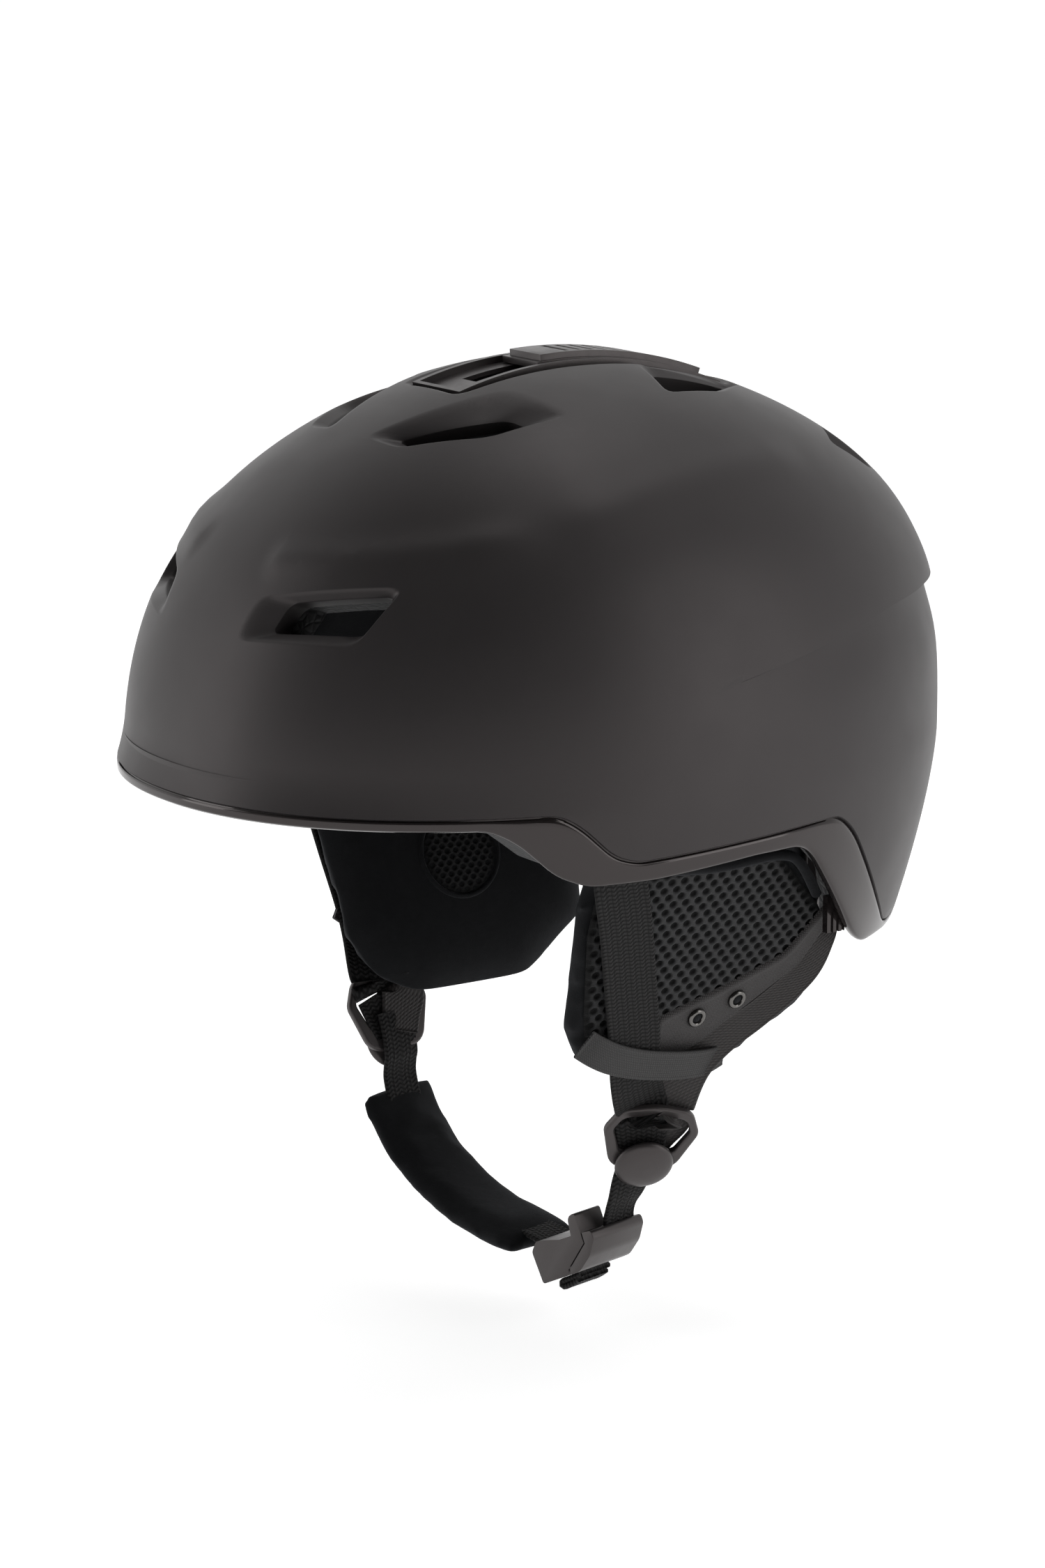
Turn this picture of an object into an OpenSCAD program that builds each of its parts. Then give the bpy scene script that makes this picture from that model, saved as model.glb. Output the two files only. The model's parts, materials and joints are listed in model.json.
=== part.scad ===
// Ski helmet with a sliding crown vent, dial fit, ear pads and a magnetic chin buckle.
// Millimetres. The brow faces -Y, the wearer's left is +X and the crown is +Z.
// The origin is the middle of the head opening, level with the brow edge.

/* [Shell] */
// Reach of the shell from the centre line to the brow
shell_front = 132; // [129:1:135]
// Reach of the shell from the centre line to the back
shell_rear = 145; // [142:1:148]
// Half of the shell's width
shell_half = 107; // [106:1:109]
// Height of the crown above the brow edge
shell_high = 124; // [123:1:126]
// Thickness of the outer shell
shell_t = 2.4; // [2:0.1:2.6]
// How far the brow edge flares forward
brim_flare = 3; // [1:0.5:5]

/* [Foam liner] */
// Thickness of the foam at the sides
foam_side = 16; // [14:1:16]
// Thickness of the foam at the brow, the back and the crown
foam_end = 21; // [18:1:22]
// Thickness of the comfort pads stuck inside the foam
comfort_t = 6; // [4:0.5:8]

/* [Vent slider] */
// Width of the slider button
slider_w = 20; // [16:1:21]
// How far the button travels, in degrees about the crown's centre of curvature
slider_travel = 9; // [6:0.5:9]

/* [Fit dial] */
// Diameter of the fit dial
dial_d = 27; // [22:1:27]
// Number of grip ribs around the dial
dial_ribs = 18; // [12:1:24]

/* [Ear pads] */
// Inward lean of each ear pad
pad_lean = 19; // [17:1:20]
// Thickness of the ear pads
pad_t = 12; // [8:1:13]
// Hole through each vent eyelet
eyelet_bore = 3.4; // [2.5:0.1:4]

/* [Straps] */
// Width of the front webbing
web_w = 20; // [18:1:21]
// Width of the chin webbing
chin_w = 15; // [12:1:17]
// Thickness of the webbing
web_t = 1.6; // [1.2:0.1:1.6]
// Width of the chin pad
chin_pad_w = 34; // [28:1:38]
// Thickness of the chin pad
chin_pad_t = 8; // [6:0.5:9]

/* [Hidden] */
$fn = 64;
tiny = 0.2;
shell_colour = "#403d3e";
trim_colour = "#1d1c1d";
soft_colour = "#17181a";
web_colour = "#232224";
foam_colour = "#2b2b2d";
plastic_colour = "#343233";

// Roundness of the shell seen from above: 2 is an ellipse, more is squarer
squareness = 2.15;
crown_shift = 11.5;
brim_high = 14;
nape_depth = 70;

// Depths below the shell's face, as [side, front, rear, top]
face = [0, 0, 0, 0];
trim_out = shell_t * [0.2, 0.2, 0.2, 0.2];
shell_in = shell_t * [1, 1, 1, 1];
foam_out = (shell_t + 0.8) * [1, 1, 1, 1];
foam_in = foam_out + [foam_side, foam_end, foam_end, foam_end - 1];
pad_out = foam_in + [1, 1, 1, 1];
pad_in = pad_out + comfort_t * [1, 1, 1, 1];

// Lower edges seen from the side, as [y, z] from brow to nape
shell_edge = [[-170, 1], [-54, 1], [-47, -3], [-36, -13.5], [-28, -16], [44, -12.8],
              [52, -12.8], [60, -19], [79, -46], [88, -57.5], [170, -57.5]];
trim_edge = [[-170, -2.6], [-74, -2.8], [-66, -7], [-54, -18.3], [-44, -22.4], [-22, -22.4],
             [16, -19.8], [34, -19.8], [40, -22.6], [66, -55.5], [73, -60.5], [170, -60.5]];
foam_edge = [[-170, -2], [-74, -2], [-66, -6], [-54, -16], [-44, -20.5], [-22, -20.5],
             [16, -18], [34, -18], [40, -20.5], [66, -52], [73, -57.5], [170, -57.5]];

// Vent openings of the left half, as corners on the shell
front_vent = [[31, -111, 62], [29, -116, 51.5], [60, -99, 53], [63, -88, 66]];
top_vent = [[15, -64, 105.5], [27, -62, 104], [43, -40, 107], [46, -16, 111.5], [32, -26, 115.5]];
crown_vent = [[19, 35, 120.5], [38, 31, 116], [34, 52, 114.5], [18, 73, 112]];
rear_vent = [[28, 101, 96], [46, 90, 94.5], [44, 106, 85], [34, 115, 83]];
left_vents = [front_vent, top_vent, crown_vent, rear_vent];
vent_focus = [0, 5, 20];

// Vent slider: it swings about the crown's centre of curvature
slide_y = 11.5;
slide_z = -26;
slide_r = 150;
button_from = -4.8;
button_to = 20.9;
track_from = -17.3;
track_to = 22.3;
slot_half = 14.8;

// Fit system
dial_y = 103.4;
dial_z = -80;
cradle_y = 10;
cradle_r = 85;

// Ear pad frame: origin on the pad's outer face at the top of the lean
pad_x = 88;
pad_z = -22;
pad_outline = [[-33, 0, 3], [-34, -16, 8], [-28.5, -62, 10], [-20, -76, 9], [-4, -84, 14],
               [40, -84, 12], [68, -66, 6], [71, -44, 8], [62, -20, 8], [40, 0, 4]];
mesh_outline = [[-31, -4, 2], [-31, -22, 4], [-24.5, -56, 6], [-19, -70, 4], [20, -74, 4],
                [58, -48, 6], [63, -30, 6], [38, -4, 4]];
band_outline = [[6, -61, 2], [30, -52.5, 8], [52, -44, 14], [63.5, -27, 2], [68, -32, 2],
                [59, -50, 8], [24, -74, 6], [6, -82, 2]];
front_strap_outline = [[-34, -3, 1], [-25.5, -30, 30], [-12.5, -72, 30], [-7.5, -88, 1],
                       [11.5, -88, 1], [8, -72, 30], [-5, -33, 30], [-13.5, -6, 1]];
rear_strap_outline = [[65, -30, 1], [57, -47, 8], [24, -71, 6], [15, -80, 8], [14, -88, 1],
                      [26, -88, 1], [30, -77, 8], [56, -58, 8], [69, -39, 3]];
far_front_outline = [[-33, -4, 1], [-28, -34, 30], [-24, -71, 1], [-5, -71, 1], [-8, -38, 30],
                     [-13, -4, 1]];
far_rear_outline = [[67, -32, 1], [59, -50, 8], [26, -73, 8], [6, -77.5, 2], [4.5, -87, 2],
                    [16, -86, 8], [34, -80, 8], [58, -60, 8], [70, -42, 3]];
keeper_outline = [[-26.5, -57, 2], [-13, -65, 14], [8, -70.5, 20], [29, -74, 2],
                  [30, -82, 3], [9, -81.5, 20], [-13, -74.5, 10], [-25, -68, 2]];
far_keeper_lift = 14;
eyelets = [[21.6, -63.5], [35.9, -58.2]];
mesh_t = 1.4;
band_from = 1.5;
band_t = 1;
strap_from = 2.6;
keeper_from = 4.4;
window_r = 15;
hinge_x = 87;
hinge_z = -21;
pad_swing = 8;

// Chin loop: it lies in an upright plane turned about Z
loop_turn = 12;
loop_origin = [-2.5, -1, 0];
right_path = [[-53.4, 0, -118.2], [-54, 0, -122], [-54.4, 0, -127], [-51.6, 0, -135.5],
              [-43.5, 0, -146.5], [-31, 0, -155.5], [-16, 0, -161.5], [0, 0, -164.5], [10, 0, -165.5],
              [15.6, 0, -166.3]];
left_path = [[54.1, 2.8, -128.9], [51.5, 3.7, -134.3], [49.3, 2.8, -140], [46.9, 2.8, -146],
             [44.4, 3.3, -150.5], [43.1, 3.5, -154]];
left_across = [[0.53, 0.84, -0.12], [0.53, 0.84, -0.12], [0.36, 0.93, 0], [0.15, 1, 0],
               [0, 1, 0], [0, 1, 0]];
pad_path_from = 2.1;
pad_path_to = 8.1;

// Strap dividers: place in the loop, then the turns about Z, the loop's Y and its own face
divider_left_at = [[58.9, 0.8, -121.4], [-7.4, 27, -36]];
divider_right_at = [[-59.5, 0, -103], [0, -22, -10]];
divider_t = 2.6;
divider_outline = [[-16, 2, 5], [-12, 11, 6], [0, 13, 20], [12, 11, 6], [16, 2, 5],
                   [10.5, -14.5, 7], [-10.5, -14.5, 7]];
divider_window = [[-12.8, 2.4, 3], [-10.4, 7.8, 4], [0, 9.1, 20], [10.4, 7.8, 4], [12.8, 2.4, 3],
                  [9, -6.5, 2], [-9, -6.5, 2]];
cap_r = 9.6;

// Buckle frame: its x axis runs from the tongue to the base
buckle_at = [28.5, -160];
buckle_tilt = 24;
buckle_w = 24;

// ---- Outlines with rounded corners -------------------------------------------------

function unit(v) = v / norm(v);

// Arc of one corner p = [x, y, r] between its neighbours a and b
function corner(a, p, b, steps = 5) =
    let (to_a = unit([a[0] - p[0], a[1] - p[1]]), to_b = unit([b[0] - p[0], b[1] - p[1]]))
    let (half = acos(max(-1, min(1, to_a * to_b))) / 2)
    let (room = 0.45 * min(norm([a[0] - p[0], a[1] - p[1]]), norm([b[0] - p[0], b[1] - p[1]])))
    let (reach = min(p[2] / tan(half), room), r = reach * tan(half))
    let (mid = [p[0], p[1]] + unit(to_a + to_b) * r / sin(half))
    let (from = [p[0], p[1]] + to_a * reach - mid, to = [p[0], p[1]] + to_b * reach - mid)
    [for (i = [0:steps]) mid + r * unit(from * (1 - i / steps) + to * (i / steps))];

function rounded(points) =
    let (n = len(points))
    [for (i = [0:n - 1]) each corner(points[(i + n - 1) % n], points[i], points[(i + 1) % n])];

module plate(points, from, thick) {
    translate([0, 0, from]) linear_extrude(thick) polygon(rounded(points));
}

// ---- The shell's surface -----------------------------------------------------------

function rise(z, o) = min(1, max(0, z) / (shell_high - o[3]));
function lobe(t, swell, pinch) = sqrt(max(0, 1 - t * t)) * (1 + swell * t * t - pinch * pow(t, 4));
function tuck(z) = pow(min(1, max(0, -z / nape_depth)), 1.5);
function flare(z) = brim_flare * pow(max(0, 1 - max(0, z) / brim_high), 2);
function half_at(z, o) = (shell_half - o[0]) * lobe(rise(z, o), 0.27, 0.27) * (1 - 0.06 * tuck(z));
function front_at(z, o) = (shell_front - o[1] + flare(z)) * lobe(rise(z, o), 0.17, 0.14);
function rear_at(z, o) = (shell_rear - o[2]) * lobe(rise(z, o), 0.41, 0.456) * (1 - 0.15 * tuck(z));

// Point on the surface at depth o, where a turns from the brow (0) to the left side (90)
function dome_point(a, z, o) =
    let (s = sin(a), c = cos(a), reach = c > 0 ? front_at(z, o) : rear_at(z, o))
    let (sum = pow(abs(s) / half_at(z, o), squareness) + pow(abs(c) / reach, squareness))
    let (r = pow(sum, -1 / squareness))
    [r * s, crown_shift * pow(rise(z, o), 2) - r * c, z];

// Faces that join rings of points, each ring having n of them
function wall(rings, n) = [for (j = [0:rings - 2], i = [0:n - 1])
    let (k = (i + 1) % n)
    each [[j * n + i, (j + 1) * n + i, (j + 1) * n + k], [j * n + i, (j + 1) * n + k, j * n + k]]];

// Solid filled dome at depth o, cut flat at z_low
module dome(o, z_low, n = 60) {
    high = shell_high - o[3];
    rows = concat([z_low, z_low / 2], [for (u = [0:9:81]) high * sin(u)], [high * sin(86.5)]);
    m = len(rows);
    rings = [for (z = rows, i = [0:n - 1]) dome_point(360 * i / n, z, o)];
    cap = [for (i = [0:n - 1]) [(m - 1) * n + i, m * n, (m - 1) * n + (i + 1) % n]];
    base = [[for (i = [0:n - 1]) i]];
    polyhedron(concat(rings, [[0, crown_shift, high]]), concat(wall(m, n), cap, base));
}

// Closed patch of the dome between two angles, two heights and two depths
module dome_patch(a0, a1, z0, z1, o_out, o_in, across = 14, up = 5) {
    function at(u, v, o) = dome_point(a0 + (a1 - a0) * u / across, z0 + (z1 - z0) * v / up, o);
    loops = [for (u = [0:across]) concat([for (v = [0:up]) at(u, v, o_out)],
                                        [for (v = [up:-1:0]) at(u, v, o_in)])];
    n = 2 * up + 2;
    ends = [for (v = [0:up - 1]) each [
        [v, v + 1, n - 2 - v], [v, n - 2 - v, n - 1 - v],
        [across * n + v, across * n + n - 2 - v, across * n + v + 1],
        [across * n + v, across * n + n - 1 - v, across * n + n - 2 - v]]];
    polyhedron([for (l = loops) each l], concat([for (f = wall(across + 1, n)) [f[0], f[2], f[1]]],
                                                [for (f = ends) [f[0], f[2], f[1]]]));
}

// Everything below an edge line, right across the helmet
module below(edge) {
    outline = concat([for (p = edge) [p[0], p[1], 6]], [[170, -200, 1], [-170, -200, 1]]);
    rotate([90, 0, 90]) translate([0, 0, -160]) linear_extrude(320) polygon(rounded(outline));
}

module mirrored() {
    children();
    mirror([1, 0, 0]) children();
}

function middle(points) = [for (k = [0:2]) let (all = [for (p = points) p[k]])
                           all * [for (p = points) 1] / len(points)];

// Tapered hole through a vent's corners, from depth share k0 to k1, grown about its middle
module vent_hole(corners, k0, k1, grow) {
    mid = middle(corners);
    hull()
        for (k = [k0, k1], p = corners)
            translate(vent_focus + k * (mid + grow * (p - mid) - vent_focus)) cube(tiny, center = true);
}

// Sector turned about the slider's axis, from a profile in [radius, x]
module crown_sector(from, to) {
    translate([0, slide_y, slide_z]) rotate([0, -90, 0]) rotate([0, 0, from])
        rotate_extrude(angle = to - from) children();
}

module crown_strip(from, to, r0, r1, half) {
    crown_sector(from, to) translate([r0, -half]) square([r1 - r0, 2 * half]);
}

// ---- Shell, trim, foam and vents -----------------------------------------------------

module slider_window(half, from_y, to_y, low) {
    hull()
        for (x = [-1, 1], y = [from_y + 5, to_y - 5])
            translate([x * (half - 5), y, low]) cylinder(r = 5, h = 60, $fn = 24);
}

module outer_shell() color(shell_colour) difference() {
    dome(face, -76);
    dome(shell_in, -80);
    below(shell_edge);
    mirrored() for (v = left_vents) vent_hole(v, 0.8, 1.2, 1);
    slider_window(slot_half, -34.5, 71, 100);
    clip_seats();
}

// Seats in the back of the shell for the goggle clip's base and its snap
module clip_seats() {
    translate([-15.3, 140.6, -14.8]) cube([30.6, 6, 11.2]);
    translate([0, 131.2, -47]) rotate([-76, 0, 0]) translate([0, 0, -0.4]) cylinder(r = 5.3, h = 8);
}

// Band that closes the foam's lower edge, with windows that key it to the foam
module lower_trim() color(trim_colour) difference() {
    dome(trim_out, -76);
    dome(shell_in, -80);
    below(trim_edge);
    translate([0, 0, 0.7]) rotate([90, 0, 90]) translate([0, 0, -160]) linear_extrude(320)
        polygon(rounded(concat([for (p = shell_edge) [p[0], p[1] - 1.5, 6]],
                               [[170, 200, 1], [-170, 200, 1]])));
    mirrored() for (y = [-30, -10, 10, 30])
        hull() for (s = [-3, 3]) translate([90, y + s, -19.2])
            rotate([0, 90, 0]) cylinder(r = 0.9, h = 14, $fn = 12);
}

module ear_clearance() {
    hull() for (turn = [0, -pad_swing - 2])
        translate([hinge_x, 0, hinge_z]) rotate([0, turn, 0]) translate([-hinge_x, 0, -hinge_z])
            ear_frame() translate([0, 0, -pad_t - 2]) linear_extrude(pad_t + 8)
                offset(2) polygon(rounded(pad_outline));
}

module foam_liner() color(foam_colour) difference() {
    dome(foam_out, -76, 48);
    dome(foam_in, -80, 48);
    below(foam_edge);
    mirrored() {
        for (v = left_vents) vent_hole(v, 0.5, 1.2, 1.12);
        ear_clearance();
        translate([84.8, 55, -57]) cube([8, 11, 16]);
    }
    slider_window(slot_half + 0.6, -36, 72.5, 115);
    crown_strip(track_from - 1, track_to + 1, 145, 165, slot_half + 0.6);
    shutter_recess();
    clip_seats();
}

// Recess under the shell that the shutter slides in
module shutter_recess() {
    crown_sector(-20.5, 7.5) polygon([[165, -46], [165, 46], [132.4, 46], [137.4, 31], [140.6, 16],
                                      [141.8, 0], [140.6, -16], [137.4, -31], [132.4, -46]]);
}

module vent_mesh() color(soft_colour)
    mirrored() for (v = [top_vent, crown_vent]) vent_hole(v, 0.925, 0.93, 0.98);

module slider_track() color(plastic_colour) difference() {
    crown_strip(track_from, track_to, 145.8, 149.4, 13.6);
    crown_strip(track_from + 0.6, track_to - 0.6, 147.2, 160, 11.6);
    crown_strip(-12.5, 5.5, 140, 150, 4);
}

module vent_slider() color(plastic_colour) {
    difference() {
        union() {
            crown_strip(button_from, button_to, 147.5, 149.6, slider_w / 2);
            crown_strip(button_from + 0.8, button_to - 0.8, 149.6, 151.6, slider_w / 2 - 1.2);
        }
        for (a = [0:1.9:16])
            crown_sector(a, a + 0.7) translate([151, -slider_w / 2 + 3])
                square([2, slider_w - 6]);
    }
    crown_strip(-1, 3.5, 144.9, 147.5, 3);
}

module vent_shutter() color(plastic_colour)
    crown_sector(-10.5, 6) polygon([[143.6, 0], [142.4, 16], [139.2, 31], [134.2, 44.5],
                                    [135.6, 44.5], [140.6, 31], [143.7, 16], [144.8, 0],
                                    [143.7, -16], [140.6, -31], [135.6, -44.5], [134.2, -44.5],
                                    [139.2, -31], [142.4, -16]]);

// ---- Comfort pads ---------------------------------------------------------------------

module brow_pad() color(soft_colour) dome_patch(-60, 60, 1, 24, pad_out, pad_in, 20);
module side_pad_left() color(soft_colour) dome_patch(66, 116, 10, 48, pad_out, pad_in, 10);
module side_pad_right() mirror([1, 0, 0]) side_pad_left();
module rear_pad() color(soft_colour) dome_patch(146, 214, 2, 40, pad_out, pad_in, 14);

module crown_pad() color(soft_colour) intersection() {
    difference() {
        dome(pad_out, 30, 40);
        dome(pad_in, 20, 40);
    }
    translate([0, 6, 0]) linear_extrude(150) {
        for (x = [-34, 0, 34]) hull() for (y = [-48, 48]) translate([x, y]) circle(8, $fn = 24);
        for (y = [-46, -16, 16, 46]) hull() for (x = [-34, 34]) translate([x, y]) circle(6, $fn = 24);
        hull() for (y = [-10, 10]) translate([0, y]) circle(14, $fn = 24);
    }
}

// ---- Fit system -----------------------------------------------------------------------

module round_bar(y0, y1, r) translate([0, y0, dial_z]) rotate([-90, 0, 0]) cylinder(r = r, h = y1 - y0);

module occipital_cradle() color(plastic_colour) {
    translate([0, cradle_y, 0]) difference() {
        rotate([0, 0, 52]) rotate_extrude(angle = 76)
            translate([cradle_r, -62]) square([2.4, 32]);
        for (a = [64, 90, 116]) rotate([0, 0, a]) translate([80, 0, -45])
            rotate([0, 90, 0]) cylinder(r = 6, h = 12);
    }
    translate([-12, 95.2, -63.9]) cube([24, 2.4, 3.9]);
}

module nape_pad() color(soft_colour) translate([0, cradle_y, 0]) rotate([0, 0, 58])
    rotate_extrude(angle = 64) translate([cradle_r - 5.2, -58]) square([5, 24]);

// Flat strip swept along a path: w runs across it, and the lateral direction is set per point
module ribbon(path, across, w, t) {
    last = len(path) - 1;
    function ahead(i) = unit(path[min(last, i + 1)] - path[max(0, i - 1)]);
    rings = [for (i = [0:last])
        let (side = unit(across[i]), up = unit(cross(ahead(i), side)))
        each [path[i] + side * w / 2 + up * t / 2, path[i] + side * w / 2 - up * t / 2,
              path[i] - side * w / 2 - up * t / 2, path[i] - side * w / 2 + up * t / 2]];
    ends = [[0, 1, 2], [0, 2, 3], [4 * last, 4 * last + 2, 4 * last + 1],
            [4 * last, 4 * last + 3, 4 * last + 2]];
    polyhedron(rings, concat([for (f = wall(last + 1, 4)) [f[0], f[1], f[2]]], ends));
}

function bend(p, t) = let (n = len(p) - 1, i = min(n - 1, floor(t * n)), f = t * n - i)
    let (a = p[max(0, i - 1)], b = p[i], c = p[i + 1], d = p[min(n, i + 2)])
    0.5 * (2 * b + (c - a) * f + (2 * a - 5 * b + 4 * c - d) * f * f
           + (3 * b - a - 3 * c + d) * pow(f, 3));
function smooth(p, steps) = [for (i = [0:steps]) bend(p, i / steps)];

// Temple strip of the fit system, which sweeps down to the dial housing
module fit_band(side, rack_z) color(plastic_colour) {
    route = smooth([[80.5, -34, 3], [81.8, -10, 3], [80.5, 22, -1], [73, 54, -15], [60.5, 77, -34],
                    [38, 92, -58], [18, 98, -74], [10, 99, rack_z]], 28);
    tilt = smooth([[0, 0, 1], [0, 0, 1], [0, 0, 1], [0, -0.3, 1], [-0.1, -0.4, 1],
                   [-0.5, -0.3, 1], [-0.7, 0, 1], [0, 0, 1]], 28);
    mirror([side > 0 ? 0 : 1, 0, 0]) ribbon(route, tilt, 8, 1.4);
}
module fit_band_left() fit_band(1, -76);
module fit_band_right() fit_band(-1, -76);

// Guides on the foam that the front ends of the temple strips slide in
module temple_anchors() color(plastic_colour) mirrored() for (z = [-3.4, 8])
    translate([80, -33, z]) cube([3.2, 10, 1.6]);

module dial_housing() color(plastic_colour) difference() {
    round_bar(95, 103, 16);
    round_bar(97, 101.5, 12.5);
    round_bar(94, 98, 3.2);
    round_bar(101, 104, 3.2);
    translate([-20, 97.6, -80.5]) cube([40, 2.8, 9]);
}

module fit_dial() color(plastic_colour) difference() {
    union() {
        round_bar(dial_y, 110, dial_d / 2);
        round_bar(100, dial_y, 3);
    }
    for (i = [0:dial_ribs - 1])
        translate([0, 0, dial_z]) rotate([0, 360 * i / dial_ribs, 0])
            translate([0, 104.6, dial_d / 2 + 0.5]) rotate([-90, 0, 0]) cylinder(r = 1.3, h = 6);
    round_bar(109, 111, dial_d / 2 - 4);
}

module dial_pinion() color(plastic_colour) {
    round_bar(97.2, 99.8, 2.8);
    for (i = [0:7])
        translate([0, 0, dial_z]) rotate([0, 45 * i, 0])
            translate([-0.6, 97.2, 2]) cube([1.2, 2.6, 1.8]);
}

// ---- Goggle clip ----------------------------------------------------------------------

module goggle_clip_base() color(plastic_colour)
    translate([0, 145.2, -13]) rotate([90, 0, 0])
        plate([[-15, 9, 3], [15, 9, 3], [15, -1.4, 1], [-15, -1.4, 1]], 0, 2.6);

module goggle_clip_strap() color(web_colour)
    translate([0, 144.6, -15]) rotate([-14, 0, 0]) rotate([90, 0, 0])
        plate([[-9, 0, 1], [9, 0, 1], [9, -40, 6], [-9, -40, 6]], -1.6, 1.8);

module goggle_clip_snap() color(trim_colour)
    translate([0, 131.2, -47]) rotate([-76, 0, 0]) cylinder(r = 5, h = 3);

// ---- Ear pads -------------------------------------------------------------------------

// Local x runs rearwards, y runs up the pad and z points away from the head
module ear_frame() {
    translate([pad_x, 0, pad_z]) rotate([0, pad_lean, 0]) rotate([90, 0, 90]) children();
}

module on_right() mirror([1, 0, 0]) children();

module ear_pad_left() color(soft_colour) ear_frame() {
    plate(pad_outline, -4, 3.9);
    for (step = [[-4, -7, 3], [-7, -pad_t, 7]])
        translate([0, 0, step[1]]) linear_extrude(step[0] - step[1])
            offset(-step[2]) polygon(rounded(pad_outline));
}
module ear_mesh_left() color(web_colour) ear_frame() plate(mesh_outline, 0, mesh_t);
module ear_window_left() color(web_colour) ear_frame()
    translate([17, -38, -pad_t - 1.2]) cylinder(r = window_r, h = 1.1);

module ear_band_left() color(web_colour) ear_frame() difference() {
    plate(band_outline, band_from, band_t);
    for (e = eyelets) translate([e[0], e[1], 0]) cylinder(d = 5, h = 6);
}

module ear_eyelets_left() color(trim_colour) ear_frame()
    for (e = eyelets) translate([e[0], e[1], 0]) rotate_extrude()
        polygon([[eyelet_bore / 2, 1.5], [2.45, 1.5], [2.45, 2.6], [3.3, 2.6],
                 [3.1, 3.3], [2.1, 3.5], [eyelet_bore / 2, 2.8]]);

module front_strap_left() color(web_colour) ear_frame() plate(front_strap_outline, strap_from, web_t);
module rear_strap_left() color(web_colour) ear_frame() plate(rear_strap_outline, strap_from, web_t);
module strap_keeper_left() color(web_colour) ear_frame() plate(keeper_outline, keeper_from, 1.2);

// Flap that hangs each pad from the foam
module ear_tab_left() color(soft_colour) rotate([90, 0, 90])
    plate([[-29, -19.6, 2], [33, -19.6, 2], [30, -6.6, 5], [-26, -6.6, 5]], 82, 2.4);

module ear_pad_right() on_right() ear_pad_left();
module ear_mesh_right() on_right() ear_mesh_left();
module ear_window_right() on_right() ear_window_left();
module ear_band_right() on_right() ear_band_left();
module ear_eyelets_right() on_right() ear_eyelets_left();
module front_strap_right() color(web_colour) on_right() ear_frame()
    plate(far_front_outline, strap_from, web_t);
module rear_strap_right() color(web_colour) on_right() ear_frame()
    plate(far_rear_outline, strap_from, web_t);
module strap_keeper_right() color(web_colour) on_right() ear_frame()
    translate([0, far_keeper_lift, 0]) plate(keeper_outline, keeper_from, 1.2);
module ear_tab_right() on_right() ear_tab_left();

// Press studs of the flaps
module ear_snaps() color(trim_colour) mirrored() for (y = [-17, 19])
    translate([80.6, y, -12]) rotate([0, 90, 0]) cylinder(r = 4, h = 1.3);

// Plates that hold the tops of the front straps
module strap_anchors() color(plastic_colour) mirrored() ear_frame()
    plate([[-32, 1.4, 1], [-10, 1.4, 1], [-10, -3, 1], [-32, -3, 1]], 1.6, 2.4);

// Ribbed guides inside the trim, where the rear straps leave it
module strap_clips() color(trim_colour) mirrored() translate([85.4, 57.5, -55]) difference() {
    cube([2.4, 7, 12]);
    for (y = [1.4:2.2:6]) translate([1.6, y, -1]) cube([2, 1, 14]);
}

// ---- Chin loop ------------------------------------------------------------------------

module loop_frame() translate(loop_origin) rotate([0, 0, loop_turn]) children();

module loop_ribbon(path, across, w, t, steps)
    ribbon(smooth(path, steps), smooth(across, steps), w, t);

// Local x runs rearwards, y runs up the divider and z points away from the head
module divider_frame(at, side) {
    loop_frame() translate(at[0]) rotate([0, 0, at[1][2]]) rotate([0, at[1][1], 0])
        mirror([side > 0 ? 0 : 1, 0, 0]) rotate([90, 0, 90]) rotate([0, 0, at[1][0]]) children();
}

module divider(at, side) color(plastic_colour) divider_frame(at, side) difference() {
    plate(divider_outline, 0, divider_t);
    plate(divider_window, -1, divider_t + 2);
}
module divider_cap(at, side) color(plastic_colour) divider_frame(at, side)
    translate([0, -10.8, divider_t + 0.05]) rotate_extrude()
        polygon([[0, 0], [8, 0], [cap_r, 2], [cap_r, 2.8], [8.4, 3.6], [0, 4.2]]);

module divider_left() divider(divider_left_at, 1);
module divider_right() divider(divider_right_at, -1);
module divider_cap_left() divider_cap(divider_left_at, 1);
module divider_cap_right() divider_cap(divider_right_at, -1);

module chin_strap_left() color(web_colour) loop_frame()
    loop_ribbon(left_path, left_across, chin_w, web_t, 12);
module chin_strap_right() color(web_colour) loop_frame()
    loop_ribbon(right_path, [for (p = right_path) [0, 1, 0]], chin_w, web_t, 28);

// Chain of hulls along the chin webbing, between two of its path's points
module chin_sleeve(from, to, w, t, shift, r, steps) {
    route = smooth(right_path, steps);
    last = len(right_path) - 1;
    function turn(i) = let (d = route[min(steps, i + 1)] - route[max(0, i - 1)]) atan2(d[2], d[0]);
    for (i = [ceil(steps * from / last):floor(steps * to / last) - 1])
        hull() for (k = [i, i + 1])
            translate(route[k]) rotate([0, -turn(k), 0]) translate([0, 0, shift])
                rotate([0, 90, 0]) linear_extrude(0.05)
                    polygon(rounded([[-t / 2, -w / 2, r], [t / 2, -w / 2, r],
                                     [t / 2, w / 2, r], [-t / 2, w / 2, r]]));
}

// Sleeve around the chin webbing, thicker on the side towards the chin
module chin_pad() color(soft_colour) loop_frame() difference() {
    chin_sleeve(pad_path_from, pad_path_to, chin_pad_w, chin_pad_t, chin_pad_t / 4, 3, 24);
    chin_sleeve(pad_path_from - 0.5, pad_path_to + 0.5, chin_w + 1, web_t + 0.8, 0, 0.5, 24);
}

module buckle_frame() loop_frame() translate([buckle_at[0], 0, buckle_at[1]])
    rotate([0, -buckle_tilt, 0]) rotate([90, 0, 0]) children();

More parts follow.
